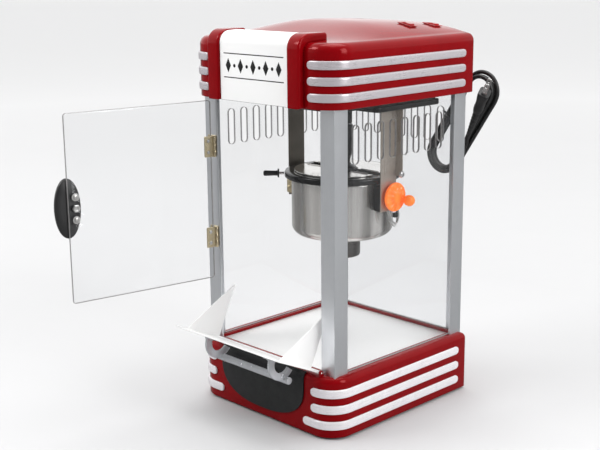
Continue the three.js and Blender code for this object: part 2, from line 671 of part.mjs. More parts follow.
function cordHank(grow = 0) {
  const halfThick = hank.thick / 2 + grow;
  return pulledBack(hankOutline(grow), -halfThick, halfThick)
    .rotateY(hank.lean * degrees).translate(hank.x, hank.y, hank.z);
}

// The lead's plain tube ends where it meets the hank.
function cordLead() {
  const curve = new THREE.CatmullRomCurve3(leadRoute.map((point) => new THREE.Vector3(...point)));
  const section = outline(arc(0, 0, lead.radius, 0, 324, 9));
  const tube = new THREE.ExtrudeGeometry(section, { steps: 12, bevelEnabled: false, extrudePath: curve });
  return cut(tube, cordHank(gap));
}

// Leans the plug from upright over to the right, tipped towards the hood.
function plugPlace() {
  const turn = new THREE.Euler(plug.tip * degrees, plug.lean * degrees, plug.twist * degrees, 'YXZ');
  return new THREE.Matrix4().makeRotationFromEuler(turn).setPosition(plug.x, plug.y, plug.z);
}

// Moulded plug with two flat blades, its boot resting against the hank.
function mainsPlug() {
  const { length, width, thick, boot } = plug;
  const end = length / 2;
  const shell = outline([[-width * 0.22, -end], [width * 0.22, -end], [width * 0.45, -end * 0.2],
    [width / 2, end], [-width / 2, end], [-width * 0.45, -end * 0.2]]);
  const blades = [-1, 1].map((side) => block(mirrored(side, [5.6, 7.1]), [-3.2, 3.2], [end - 1, end + 17]));
  const tail = turned([[0, -end - boot], [3.4, -end - boot], [4.6, -end + 1], [0, -end + 1]], 16);
  const nearSide = block([0, 200], [100, hank.y - hank.thick / 2 - gap], [250, 450]);
  return common(join(pulledBack(shell, -thick / 2, thick / 2), tail, ...blades),
    nearSide.applyMatrix4(plugPlace().invert()));
}

// ---- The assembly ----

function materialOf(colour) {
  const metal = ['steel', 'aluminium', 'brass', 'silver'].includes(colour);
  const clear = colour === 'clear';
  return new THREE.MeshStandardMaterial({
    color: colours[colour], roughness: metal ? 0.35 : 0.3, metalness: metal ? 0.9 : 0,
    transparent: clear, opacity: clear ? 0.25 : 1,
  });
}

function addPiece(parent, name, colour, geometry) {
  const mesh = new THREE.Mesh(geometry, materialOf(colour));
  mesh.name = name;
  parent.add(mesh);
  return mesh;
}

function addGroup(parent, x, y, z) {
  const group = new THREE.Group();
  group.position.set(x, y, z);
  parent.add(group);
  return group;
}

function addStrips(parent, name, set, ...plan) {
  for (const [word, side] of [['left', -1], ['right', 1]]) {
    set.levels.forEach((middle, i) => {
      const piece = stripPiece(side, ...plan, set.frontEnds[i], set.height);
      addPiece(parent, `${name}_strip_${word}_${i + 1}`, 'silver', piece).position.z = middle;
    });
  }
}

function addBase(parent) {
  addPiece(parent, 'base_shell', 'red', baseShell());
  addPiece(parent, 'bottom_pan', 'charcoal', bottomPan());
  addPiece(parent, 'cabinet_floor', 'white', cabinetFloor());
  addPiece(parent, 'base_plaque', 'charcoal', basePlaque());
  addStrips(parent, 'base', baseStrips, body.halfWidth, body.halfDepth, body.frontRadius);
  for (const [word, sideX, sideY] of corners) {
    addPiece(parent, `foot_${word}`, 'black', footPiece()).position.set(sideX * foot.x, sideY * foot.y, 0);
  }
}

function addHood(parent) {
  addPiece(parent, 'hood_shell', 'red', hoodShell());
  addPiece(parent, 'sign_panel', 'white', signPanel());
  addPiece(parent, 'hood_pan', 'black', hoodPan());
  addPiece(parent, 'gear_motor', 'steel', gearMotor());
  addPiece(parent, 'lamp_lens', 'cream', lampLens()).position.set(lamp.x, lamp.y, 0);
  addStrips(parent, 'hood', hoodStrips, body.halfWidth + hood.grow, body.halfDepth + hood.grow,
    hood.frontRadius);
  rocker.places.forEach((y, i) => {
    addPiece(parent, `switch_bezel_${i + 1}`, 'red', bezelPiece()).applyMatrix4(onRoof(rocker.x, y));
    addPiece(parent, `switch_rocker_${i + 1}`, 'orange', rockerPiece()).applyMatrix4(onRoof(rocker.x, y));
  });
}

function addCabinet(parent) {
  for (const [word, sideX, sideY] of corners) {
    const piece = pulledUp(postOutline(sideX, sideY), post.bottom, post.top);
    addPiece(parent, `post_${word}`, 'aluminium', piece);
  }
  addPiece(parent, 'window_left', 'clear', sidePane(-1));
  addPiece(parent, 'window_right', 'clear', sidePane(1));
  addPiece(parent, 'window_rear', 'clear', rearPane());
}

// The door stands open, turned about its hinge line.
function addDoor(parent) {
  const fixed = addGroup(parent, door.x, door.y, 0);
  const swinging = addGroup(parent, door.x, door.y, 0);
  swinging.rotation.z = -door.open * degrees;
  hinge.levels.forEach((z, i) => {
    addPiece(fixed, `hinge_post_leaf_${i + 1}`, 'brass', postLeaf()).position.z = z;
    addPiece(swinging, `hinge_door_leaf_${i + 1}`, 'brass', doorLeaf()).position.z = z;
  });
  addPiece(swinging, 'door_panel', 'clear', doorPanel());
  addPiece(swinging, 'door_handle', 'black', doorHandle());
}

// The tray is let down about its pins.
function addTray(parent) {
  const tipping = addGroup(parent, 0, tray.y, tray.z);
  tipping.rotation.x = (90 - tray.rise) * degrees;
  addPiece(tipping, 'tray_flap', 'white', trayFlap());
  addPiece(tipping, 'tray_handle', 'frosted', trayHandle());
}

function addKettle(parent) {
  const upright = addGroup(parent, 0, kettle.y, 0);
  addPiece(upright, 'kettle_pot', 'steel', kettlePot());
  addPiece(upright, 'kettle_collar', 'black', kettleCollar());
  addPiece(upright, 'kettle_socket', 'black', kettleSocket());
  addPiece(upright, 'heater_housing', 'steel', heaterHousing());
  addPiece(upright, 'lid_front', 'steel', lidHalf(-1));
  addPiece(upright, 'lid_rear', 'steel', lidHalf(1));
  addPiece(upright, 'stirrer', 'steel', stirrerPiece());
  addPiece(upright, 'drive_coupling', 'black', driveCoupling());
  const handle = addPiece(upright, 'kettle_handle', 'black', kettleHandle());
  handle.position.z = grip.z;
  handle.rotation.z = grip.angle * degrees;
  addPiece(upright, 'tilt_knob', 'orange', tiltKnob()).position.z = kettle.z;
  addPiece(parent, 'hanger_left', 'steel', hangerPiece(-1));
  addPiece(parent, 'hanger_right', 'steel', hangerPiece(1));
}

function addCord(parent) {
  addPiece(parent, 'strain_relief', 'black', strainRelief());
  addPiece(parent, 'cord_lead', 'black', cordLead());
  addPiece(parent, 'cord_hank', 'black', cordHank());
  addPiece(parent, 'mains_plug', 'black', mainsPlug()).applyMatrix4(plugPlace());
}

const popcornMaker = new THREE.Group();
addBase(popcornMaker);
addHood(popcornMaker);
addCabinet(popcornMaker);
addDoor(popcornMaker);
addTray(popcornMaker);
addKettle(popcornMaker);
addCord(popcornMaker);

export default popcornMaker;
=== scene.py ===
"""Looks of the table-top popcorn maker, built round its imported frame.

Shapes are written in millimetres in the frame's axes and turned into metres when their mesh is made.
"""

import math

import bmesh
import bpy
from mathutils import Matrix, Vector


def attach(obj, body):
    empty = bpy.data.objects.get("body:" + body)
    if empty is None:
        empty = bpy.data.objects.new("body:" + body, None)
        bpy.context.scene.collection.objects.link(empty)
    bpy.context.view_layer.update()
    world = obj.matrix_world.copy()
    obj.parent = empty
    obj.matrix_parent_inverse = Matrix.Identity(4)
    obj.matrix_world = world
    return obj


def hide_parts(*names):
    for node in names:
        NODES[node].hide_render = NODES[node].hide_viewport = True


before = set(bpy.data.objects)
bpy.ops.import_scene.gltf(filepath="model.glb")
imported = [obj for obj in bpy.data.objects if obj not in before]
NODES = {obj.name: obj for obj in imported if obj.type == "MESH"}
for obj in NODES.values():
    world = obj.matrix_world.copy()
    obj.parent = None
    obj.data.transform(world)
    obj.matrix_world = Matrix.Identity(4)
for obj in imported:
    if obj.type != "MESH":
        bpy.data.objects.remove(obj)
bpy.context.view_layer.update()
MM = 0.001


# ---- Places ----

DOOR_PIVOT = (-91.5, -116)                     # the door's hinge line: X and Y
TRAY_PIVOT = (-119.5, 78)                      # the tray's hinge line: Y and Z
DOOR_OPEN, TRAY_DOWN = 99.5, 65                # how far the frame's rest pose has them open
KETTLE_Y, KETTLE_PIVOT_Z = 17, 268


def shift(x, y, z):
    return Matrix.Translation(Vector((x, y, z)))


def axes(across, up, origin=(0, 0, 0)):
    """A place whose local X and Y lie along the two given directions."""
    a, b = Vector(across).normalized(), Vector(up).normalized()
    turn = Matrix((a, b, a.cross(b))).transposed().to_4x4()
    return shift(*origin) @ turn


def about(axis, angle):
    return Matrix.Rotation(math.radians(angle), 4, axis)


SIDE_ON = axes((0, 1, 0), (0, 0, 1))           # drawn in YZ, thick along X
FACE_ON = axes((1, 0, 0), (0, 0, 1))           # drawn in XZ, thick along -Y
DOOR = shift(*DOOR_PIVOT, 0) @ about("Z", -DOOR_OPEN)
TRAY = shift(0, *TRAY_PIVOT) @ about("X", TRAY_DOWN)
KETTLE = shift(0, KETTLE_Y, 0)
ALONG_X = about("Y", 90)                       # a turned piece laid along +X


# ---- Camera ----

CAMERA_AT = (0.96462, -1.00280, 0.55192)       # metres
CAMERA_AZIMUTH, CAMERA_ELEVATION, CAMERA_ROLL = 45.619, 13.423, -0.557
LENS, SENSOR = 67.518, 36


def make_camera():
    azimuth, elevation, roll = (math.radians(v) for v in (CAMERA_AZIMUTH, CAMERA_ELEVATION, CAMERA_ROLL))
    forward = Vector((-math.sin(azimuth) * math.cos(elevation),
                      math.cos(azimuth) * math.cos(elevation), -math.sin(elevation)))
    level = forward.cross(Vector((0, 0, 1))).normalized()
    upright = level.cross(forward)
    right = level * math.cos(roll) + upright * math.sin(roll)
    up = upright * math.cos(roll) - level * math.sin(roll)
    data = bpy.data.cameras.new("photo_camera")
    data.sensor_fit = "HORIZONTAL"
    data.sensor_width = SENSOR
    data.lens = LENS
    data.clip_end = 100
    camera = bpy.data.objects.new("photo_camera", data)
    bpy.context.scene.collection.objects.link(camera)
    camera.matrix_world = (Matrix.Translation(CAMERA_AT)
                           @ Matrix((right, up, -forward)).transposed().to_4x4())
    bpy.context.scene.camera = camera


make_camera()


# ---- Materials ----

def add_node(tree, kind, inputs=None, **settings):
    """A shader node. An input is a plain value or the socket that feeds it."""
    node = tree.nodes.new("ShaderNode" + kind)
    for key, value in settings.items():
        setattr(node, key, value)
    for key, value in (inputs or {}).items():
        if isinstance(value, bpy.types.NodeSocket):
            tree.links.new(value, node.inputs[key])
        else:
            node.inputs[key].default_value = value
    return node


# How far the lines of a brushed metal are drawn out along each axis.
UP_BRUSH, SIDE_BRUSH, ROUND_BRUSH = (1, 1, 90), (60, 60, 1), (40, 40, 1)


class Look:
    """A Principled material with procedural detail. Texture sizes are in millimetres."""

    def __init__(self, name, color, roughness, metallic=0.0, **sockets):
        self.material = bpy.data.materials.new(name)
        self.material.use_nodes = True
        self.tree = self.material.node_tree
        self.shader = self.tree.nodes["Principled BSDF"]
        self.shader.inputs["Base Color"].default_value = (*color, 1)
        self.shader.inputs["Roughness"].default_value = roughness
        self.shader.inputs["Metallic"].default_value = metallic
        for key, value in sockets.items():
            self.shader.inputs[key.replace("_", " ")].default_value = value
        self.place = self.tree.nodes.new("ShaderNodeTexCoord").outputs["Object"]

    def add(self, kind, inputs=None, **settings):
        return add_node(self.tree, kind, inputs, **settings)

    def noise(self, size, stretch=(1, 1, 1), detail=3.0, rough=0.5, offset=0.0):
        """Noise with features of about that size, drawn out along the axes with a large stretch."""
        scaled = self.add("Mapping", {
            "Vector": self.place, "Location": (offset, offset, offset),
            "Scale": tuple(1 / (size * MM * s) for s in stretch)})
        made = self.add("TexNoise", {"Vector": scaled.outputs[0], "Scale": 1.0, "Detail": detail,
                                     "Roughness": rough})
        return made.outputs["Fac"]

    def spread(self, value, low, high, start=0.3, end=0.7):
        return self.add("MapRange", {"Value": value, "From Min": start, "From Max": end,
                                     "To Min": low, "To Max": high}).outputs["Result"]

    def blend(self, amount, *colours):
        """A mix of two colours, each a plain colour or a socket."""
        first, second = (c if isinstance(c, bpy.types.NodeSocket) else (*c, 1) for c in colours)
        return self.add("Mix", {0: amount, 6: first, 7: second}, data_type="RGBA").outputs[2]

    def colour(self, socket):
        self.tree.links.new(socket, self.shader.inputs["Base Color"])

    def roughness(self, socket):
        self.tree.links.new(socket, self.shader.inputs["Roughness"])

    def bumps(self, *layers):
        """Layers are (height, depth in millimetres)."""
        normal = None
        for height, depth in layers:
            node = self.add("Bump", {"Height": height, "Strength": 1.0, "Distance": depth * MM})
            if normal is not None:
                self.tree.links.new(normal, node.inputs["Normal"])
            normal = node.outputs[0]
        self.tree.links.new(normal, self.shader.inputs["Normal"])

# The left hanger is the same strap as the right, in a darker copy that is painted shade.

def coated(name, color, shade, gloss=(0.10, 0.22), peel=(1.6, 0.004), grain=None, metallic=0.0,
           smudge=35, specks=None, **sockets):
    """Paint or moulded plastic: a drifting colour, smudged gloss, a peel or grain, and faint rubs."""
    look = Look(name, color, gloss[0], metallic, **sockets)
    drift = look.spread(look.noise(smudge, detail=4), 0, 1)
    base = look.blend(drift, color, shade)
    rubs = look.spread(look.noise(2.2, stretch=(14, 9, 1), detail=2, offset=4), 0, 1, 0.66, 0.74)
    if specks:
        dots = look.spread(look.noise(0.9, detail=1, offset=9), 0, 1, 0.70, 0.76)
        base = look.blend(dots, base, specks)
    look.colour(base)
    fine = look.spread(look.noise(smudge * 0.4, detail=5, rough=0.65, offset=2), *gloss)
    rough = look.add("Math", {0: fine, 1: look.spread(rubs, 0, 0.03, 0, 1)}, operation="ADD")
    look.roughness(rough.outputs[0])
    layers = [(look.noise(peel[0], detail=2), peel[1])]
    if grain:
        layers.append((look.noise(grain[0], detail=2, rough=0.7, offset=6), grain[1]))
    look.bumps(*layers)
    return look.material


def metal(name, color, shade, rough=(0.22, 0.34), brush=None, depth=0.004, smudge=30, **sockets):
    """Bare metal, brushed along the axis with the largest stretch if one is given."""
    look = Look(name, color, rough[0], 1.0, **sockets)
    lines = look.noise(0.35, stretch=brush or (1, 1, 1), detail=4, rough=0.7)
    drift = look.noise(smudge, detail=4, offset=3)
    tone = look.blend(look.spread(drift, 0, 1), color, shade)
    darker = tuple(c * 0.86 for c in color)
    look.colour(look.blend(look.spread(lines, 0, 0.55), tone, darker))
    mixed = look.add("Math", {0: look.spread(lines, *rough), 1: look.spread(drift, -0.03, 0.05)},
                     operation="ADD")
    look.roughness(mixed.outputs[0])
    look.bumps((lines, depth), (look.noise(6, detail=3, offset=8), depth))
    return look.material


def clear_sheet(name, tint, haze):
    """A clear sheet's face: it passes what is behind it and mirrors the rest by its angle."""
    look = Look(name, tint, 0.03, 1.0)
    smears = look.noise(28, stretch=(1, 1, 2), detail=5, rough=0.62)
    scratches = look.spread(look.noise(0.7, stretch=(30, 22, 1.5), detail=2, offset=5), 0, 1, 0.69, 0.75)
    look.roughness(look.spread(smears, 0.02, 0.10, 0.35, 0.75))
    look.bumps((look.noise(60, detail=2, offset=1), 0.05))
    passed = look.add("BsdfTransparent", {"Color": (*(1 - (1 - t) * 0.5 for t in tint), 1)})
    facing = look.add("LayerWeight", {"Blend": 0.5}).outputs["Facing"]
    steep = look.add("Math", {0: facing, 1: 4.0}, operation="POWER").outputs[0]
    gloss = look.add("Math", {0: steep, 1: 0.8, 2: 0.018}, operation="MULTIPLY_ADD")
    veil = look.add("Math", {0: look.spread(smears, 0, haze), 1: look.spread(
        scratches, 0, 0.03, 0, 1)}, operation="ADD")
    share = look.add("Math", {0: gloss.outputs[0], 1: veil.outputs[0]}, operation="ADD")
    mixed = look.add("MixShader", {0: share.outputs[0], 1: passed.outputs[0],
                                   2: look.shader.outputs[0]})
    output = look.tree.nodes["Material Output"]
    look.tree.links.new(mixed.outputs[0], output.inputs["Surface"])
    return look.material


def clear_edge(name, light, dark):
    """A sheet's sawn edge with grey saw marks; its grey is painted shade, standing in for the dark line that
    refraction draws along a clear sheet's edge.
    """
    look = Look(name, light, 0.3, 0.0, IOR=1.49, Transmission_Weight=0.1)
    marks = look.noise(1.1, stretch=(1, 1, 6), detail=4)
    look.colour(look.blend(look.spread(marks, 0, 1), light, dark))
    look.roughness(look.spread(marks, 0.2, 0.5))
    look.bumps((marks, 0.02))
    return look.material


def tinted_plastic(name, color, shade, gloss, clearness, bubbles=0.02, **sockets):
    """Clear or milky moulded plastic with flow marks inside."""
    look = Look(name, color, gloss[0], 0.0, IOR=1.49, Transmission_Weight=clearness, **sockets)
    flow = look.noise(7, stretch=(1, 1, 2), detail=4, rough=0.6)
    look.colour(look.blend(look.spread(flow, 0, 1), color, shade))
    look.roughness(look.spread(look.noise(9, detail=4, offset=5), *gloss))
    look.bumps((flow, bubbles), (look.noise(1.2, detail=2, offset=3), bubbles * 0.25))
    return look.material


def painted_reflection_steel(name, light, dark, rough):
    """Polished sheet steel whose colour carries painted reflections: broad upright light and dark bands with
    finer streaks, standing in for what its wall mirrors.
    """
    look = Look(name, light, rough[0], 0.78)
    # Painted reflections: upright light and dark bands mixed into the base colour.
    broad = look.noise(21, stretch=(1, 1, 60), detail=1.5, rough=0.4, offset=7)
    fine = look.noise(3.2, stretch=(1, 1, 40), detail=3, rough=0.6, offset=2)
    amount = look.add("Math", {0: look.spread(broad, 0, 0.85, 0.40, 0.62), 1: look.spread(fine, 0, 0.25)},
                      operation="ADD", use_clamp=True)
    look.colour(look.blend(amount.outputs[0], light, dark))
    lines = look.noise(0.35, stretch=ROUND_BRUSH, detail=4, rough=0.7)
    look.roughness(look.spread(lines, *rough))
    look.bumps((lines, 0.0012), (look.noise(9, stretch=(1, 1, 3), detail=3, offset=8), 0.01))
    return look.material


L = {
    "red": coated("red_enamel", (0.235, 0.0012, 0.0035), (0.20, 0.0010, 0.003), (0.07, 0.14),
                  (1.8, 0.005), specks=(0.27, 0.008, 0.010), IOR=1.38,
                  Specular_Tint=(1.0, 0.3, 0.3, 1)),
    # The hood's and base's strips are one trim in two copies: the base's paler one is painted light, the
    # hood's darker one painted shade.
    "silver": metal("silver_strip", (0.64, 0.60, 0.63), (0.59, 0.56, 0.59), (0.24, 0.34), SIDE_BRUSH, 0.003,
                    Metallic=0.45),
    "painted_light_strip": metal("painted_light_strip", (0.90, 0.87, 0.90), (0.86, 0.83, 0.86), (0.22, 0.32), SIDE_BRUSH, 0.003,
                        Metallic=0.15),
    "white": coated("white_sheet", (0.93, 0.93, 0.925), (0.915, 0.915, 0.91), (0.28, 0.34),
                    (1.4, 0.002), smudge=90),
    "charcoal": coated("charcoal_plaque", (0.013, 0.013, 0.015), (0.009, 0.010, 0.010), (0.42, 0.60),
                       (0.8, 0.010), specks=(0.05, 0.05, 0.05)),
    "pan": coated("charcoal_pan", (0.03, 0.03, 0.032), (0.02, 0.02, 0.021), (0.42, 0.6), (1.0, 0.015)),
    "black_sheet": coated("black_sheet", (0.006, 0.006, 0.0065), (0.010, 0.010, 0.010), (0.25, 0.4),
                          (1.3, 0.01)),
    "black_enamel": coated("black_enamel", (0.010, 0.010, 0.011), (0.02, 0.02, 0.02), (0.14, 0.28),
                           (1.5, 0.01), IOR=1.36),
    "black_plastic": coated("black_plastic", (0.013, 0.013, 0.014), (0.022, 0.022, 0.023), (0.28, 0.45),
                            (0.5, 0.02), grain=(0.25, 0.01)),
    "aluminium": metal("satin_aluminium", (0.82, 0.84, 0.87), (0.74, 0.76, 0.79), (0.30, 0.42), UP_BRUSH,
                       0.003),
    "frosted": tinted_plastic("frosted_plastic", (0.88, 0.90, 0.93), (0.78, 0.80, 0.84), (0.10, 0.28), 0.55),
    # Its emission is a painted glow: the knob is no lamp.
    "amber": tinted_plastic("amber_plastic", (1.0, 0.19, 0.02), (1.0, 0.33, 0.06), (0.08, 0.2), 0.12, 0.05,
                            Emission_Color=(1.0, 0.16, 0.015, 1), Emission_Strength=0.28),
    "lens": coated("lamp_lens", (0.72, 0.70, 0.74), (0.62, 0.60, 0.63), (0.3, 0.5), (2.5, 0.06)),
    "switch": coated("switch_red", (0.42, 0.010, 0.012), (0.30, 0.006, 0.008), (0.05, 0.14), (1.0, 0.005)),
    "polished": metal("polished_steel", (0.80, 0.78, 0.75), (0.70, 0.68, 0.65), (0.09, 0.17), ROUND_BRUSH,
                      0.0012),
    # The kettle's colour holds painted reflections in upright light and dark bands.
    "pot": painted_reflection_steel("kettle_steel", (0.97, 0.95, 0.92), (0.36, 0.35, 0.335), (0.14, 0.26)),
    "strap": metal("steel_strap", (0.46, 0.41, 0.36), (0.40, 0.355, 0.31), (0.24, 0.36), UP_BRUSH, 0.003,
                   Metallic=0.5),
    # A darker copy of the steel strap: painted shade on the left hanger.
    "painted_shade_strap": metal("painted_shade_strap", (0.25, 0.23, 0.20), (0.17, 0.155, 0.135), (0.26, 0.4), UP_BRUSH, 0.003,
                        Metallic=0.7),
    "can": metal("heater_steel", (0.24, 0.23, 0.22), (0.17, 0.165, 0.16), (0.22, 0.36), SIDE_BRUSH, 0.003),
    # Its emission is a painted glow: the ball is no lamp.
    "ball": tinted_plastic("ball_plastic", (1.0, 0.30, 0.04), (1.0, 0.24, 0.03), (0.06, 0.14), 0.12, 0.03,
                           Emission_Color=(1.0, 0.24, 0.025, 1), Emission_Strength=0.22),
    "motor": metal("motor_steel", (0.45, 0.45, 0.46), (0.36, 0.36, 0.37), (0.35, 0.5), None, 0.006),
    "brass": metal("brass_hinge", (0.75, 0.65, 0.44), (0.60, 0.50, 0.33), (0.2, 0.36), None, 0.006, 8),
    "screw": metal("zinc_screw", (0.72, 0.72, 0.72), (0.55, 0.54, 0.52), (0.22, 0.36), None, 0.006, 6),
    "rubber": coated("cord_rubber", (0.012, 0.012, 0.013), (0.02, 0.02, 0.02), (0.34, 0.5), (0.6, 0.01),
                     smudge=12),
    "plug": coated("plug_rubber", (0.012, 0.012, 0.013), (0.022, 0.022, 0.022), (0.4, 0.55), (0.4, 0.02),
                   smudge=10),
    "foot": coated("foot_rubber", (0.02, 0.02, 0.02), (0.035, 0.034, 0.033), (0.6, 0.8), (0.7, 0.03)),
    "pane": clear_sheet("clear_pane", (0.95, 0.955, 0.96), 0.008),
    # The panes' grey edges are painted shade.
    "pane_edge": clear_edge("clear_pane_edge", (0.40, 0.39, 0.39), (0.22, 0.215, 0.215)),
}


# ---- Meshes ----

def arc(x, y, radius, start, end, steps):
    angles = [math.radians(start + (end - start) * i / steps) for i in range(steps + 1)]
    return [(x + radius * math.cos(a), y + radius * math.sin(a)) for a in angles]


def circle(x, y, radius):
    """A small round outline, such as a screw's hole."""
    return arc(x, y, radius, 0, 345, 23)


def round_angles(count):
    return [2 * math.pi * i / count for i in range(count)]


def mesh_of(points, faces):
    mesh = bpy.data.meshes.new("made")
    mesh.from_pydata([Vector(p) for p in points], [], faces)
    mesh.validate()
    return mesh


def merged(mesh, distance=0.001):
    edit = bmesh.new()
    edit.from_mesh(mesh)
    bmesh.ops.remove_doubles(edit, verts=edit.verts, dist=distance)
    bmesh.ops.dissolve_degenerate(edit, edges=edit.edges, dist=distance * 0.5)
    bmesh.ops.recalc_face_normals(edit, faces=edit.faces)
    edit.to_mesh(mesh)
    edit.free()
    return mesh


def loft(rings, closed=True, caps=True, looped=False):
    """A skin over rings of equally many points. With looped, the last ring joins the first."""
    count = len(rings[0])
    points = [p for ring in rings for p in ring]
    faces = []
    for level in range(len(rings) - (0 if looped else 1)):
        low, high = level * count, (level + 1) % len(rings) * count
        for i in range(count if closed else count - 1):
            j = (i + 1) % count
            faces.append((low + i, low + j, high + j, high + i))
    if caps and not looped:
        faces.append(tuple(reversed(range(count))))
        faces.append(tuple(range(len(points) - count, len(points))))
    return merged(mesh_of(points, faces))


def turned(profile, sides=72):
    """A turned piece about the vertical. The profile's points are (radius, height)."""
    rings = [[(r * math.cos(a), r * math.sin(a), z) for a in round_angles(sides)] for r, z in profile]
    hollow = profile[0] == profile[-1]
    return loft(rings[:-1] if hollow else rings, looped=hollow, caps=not hollow)


def plate(loops, thick, edge=0.3, steps=2):
    """A flat plate, centred on z 0, with rounded edges. The loops are its outline and its holes."""
    curve = bpy.data.curves.new("plate", "CURVE")
    curve.dimensions = "2D"
    curve.fill_mode = "BOTH"
    curve.extrude = thick / 2 - edge
    curve.bevel_depth = edge
    curve.bevel_resolution = steps
    curve.offset = -edge
    for loop in loops:
        spline = curve.splines.new("POLY")
        spline.points.add(len(loop) - 1)
        for point, (x, y) in zip(spline.points, loop):
            point.co = (x, y, 0, 1)
        spline.use_cyclic_u = True
    holder = bpy.data.objects.new("plate", curve)
    bpy.context.scene.collection.objects.link(holder)
    bpy.context.view_layer.update()
    made = bpy.data.meshes.new_from_object(holder.evaluated_get(bpy.context.evaluated_depsgraph_get()))
    bpy.data.objects.remove(holder)
    return merged(made)


def tube(points, radius, sides=16, taper=None):
    """A round tube through points, its ends closed. The taper gives a radius for each point."""
    path = [Vector(p) for p in points]
    ahead = [(path[min(i + 1, len(path) - 1)] - path[max(i - 1, 0)]).normalized() for i in range(len(path))]
    across = ahead[0].orthogonal().normalized()
    rings = []
    for i, (point, way) in enumerate(zip(path, ahead)):
        across = (across - way * across.dot(way)).normalized()
        other = way.cross(across)
        r = taper[i] if taper else radius
        rings.append([point + (across * math.cos(a) + other * math.sin(a)) * r
                      for a in round_angles(sides)])
    return loft(rings)


def smooth_line(points, steps):
    """A curved line through points (Catmull-Rom)."""
    path = [Vector(p) for p in points]
    path = [path[0] * 2 - path[1], *path, path[-1] * 2 - path[-2]]
    out = []
    for a, b, c, d in zip(path, path[1:], path[2:], path[3:]):
        for i in range(steps):
            t = i / steps
            out.append(((b * 2) + (c - a) * t + (a * 2 - b * 5 + c * 4 - d) * t ** 2
                        + (b * 3 - a - c * 3 + d) * t ** 3) / 2)
    return out + [path[-2]]


def together(*meshes):
    points, faces = [], []
    for mesh in meshes:
        start = len(points)
        points += [v.co.copy() for v in mesh.vertices]
        faces += [tuple(start + v for v in p.vertices) for p in mesh.polygons]
    return mesh_of(points, faces)


def moved(mesh, *places):
    for place in places:
        mesh.transform(place)
    return mesh


def side_plate(x, loops, thick, edge=0.3, steps=2):
    """A plate drawn in YZ, its middle at that X."""
    return moved(plate(loops, thick, edge, steps), SIDE_ON, shift(x, 0, 0))


def face_plate(y, loops, thick, edge=0.3, steps=2):
    """A plate drawn in XZ, its middle at that Y."""
    return moved(plate(loops, thick, edge, steps), FACE_ON, shift(0, y, 0))


def turned_along_x(profile, sides, *places):
    """A turned piece about a line along X. The profile's points are (radius, X)."""
    return moved(turned(profile, sides), ALONG_X, *places)


def piece(name, mesh, body, look, place=None, stands_for=(), bevel=0.0, angle=35, sharp=60):
    """Turns a mesh in millimetres into a piece that rides on a body."""
    if place is not None:
        mesh.transform(place)
    mesh.transform(Matrix.Scale(MM, 4))
    mesh.name = name
    made = bpy.data.objects.new(name, mesh)
    bpy.context.scene.collection.objects.link(made)
    mesh.shade_smooth()
    if bevel:
        soften(made, bevel, angle)
    else:
        mesh.set_sharp_from_angle(angle=math.radians(sharp))
    mesh.materials.append(L[look])
    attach(made, body)
    if stands_for:
        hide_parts(*stands_for)
    return made


def soften(made, width, angle=35, steps=2):
    """Rounds the edges and evens the shading of the flats between them."""
    rounded = made.modifiers.new("rounded", "BEVEL")
    rounded.width = width * MM
    rounded.segments = steps
    rounded.limit_method = "ANGLE"
    rounded.angle_limit = math.radians(angle)
    rounded.use_clamp_overlap = True
    even = made.modifiers.new("even", "WEIGHTED_NORMAL")
    even.keep_sharp = True
    even.weight = 80


def carry(look, *names, bevel=0.4, angle=35):
    """Keeps a CAD node's shape, with rounded edges and a finished surface."""
    for name in names:
        node = NODES[name]
        mesh = node.data
        mesh.shade_smooth()
        for spare in ("custom_normal", "sharp_edge"):
            if spare in mesh.attributes:
                mesh.attributes.remove(mesh.attributes[spare])
        weld = node.modifiers.new("weld", "WELD")
        weld.merge_threshold = 0.02 * MM
        flat = node.modifiers.new("flat", "DECIMATE")
        flat.decimate_type = "DISSOLVE"
        flat.angle_limit = math.radians(1)
        soften(node, bevel, angle)
        mesh.materials.clear()
        mesh.materials.append(L[look])


FACE_ALIGNED = 0.96   # a face that lies along the sheet has a normal this close to the thin axis


def edge_faces(made, thin_axis, look):
    """Gives the faces along a sheet's edges a look of their own."""
    made.data.materials.append(L[look])
    for face in made.data.polygons:
        if abs(face.normal.dot(thin_axis)) < FACE_ALIGNED:
            face.material_index = 1


# ---- Cord: out of the gland, down, round the hank and into the plug ----

CORD_RADIUS = 2.7
HANK = Vector((67.0, 175.0, 338.0))
LEAN = math.radians(33)
RUN_UP = Vector((math.sin(LEAN), 0, math.cos(LEAN)))
RUN_OUT = Vector((math.cos(LEAN), 0, -math.sin(LEAN)))
HALF_RUN = 52.0
RUN_STEPS, BEND_STEPS = 8, 8                   # the route's points along a run and round a bend
TURN_EASE = 31.0                               # a turn reaches its own radius over this much of its run
OUTER, INNER, DEPTH = 24.2, 18.8, 2.7          # the turns' radii, and how far each lies from the middle
BOOT_LENGTH = 61                               # from the plug's middle to its boot's end
PLUG = shift(110, 156, 370) @ about("Y", 31) @ about("X", 13) @ about("Z", -60)


def hank_point(along, out, depth):
    return HANK + RUN_UP * along + RUN_OUT * out + Vector((0, depth, 0))


def ease(t):
    t = min(max(t, 0.0), 1.0)
    return t * t * (3 - 2 * t)


def hank_turn(start, turn):
    """Down the left run, round the foot and up the right run. Each is a radius and a depth."""
    (start_radius, start_depth), (radius, depth) = start, turn
    points = []
    for k in range(RUN_STEPS + 1):
        along = HALF_RUN - 2 * HALF_RUN * k / RUN_STEPS
        share = ease((HALF_RUN - along) / TURN_EASE)
        out = start_radius + (radius - start_radius) * share
        points.append(hank_point(along, -out, start_depth + (depth - start_depth) * share))
    for k in range(1, BEND_STEPS):
        a = math.pi * k / BEND_STEPS
        points.append(hank_point(-HALF_RUN - radius * math.sin(a), -radius * math.cos(a), depth))
    for k in range(RUN_STEPS + 1):
        points.append(hank_point(-HALF_RUN + 2 * HALF_RUN * k / RUN_STEPS, radius, depth))
    return points


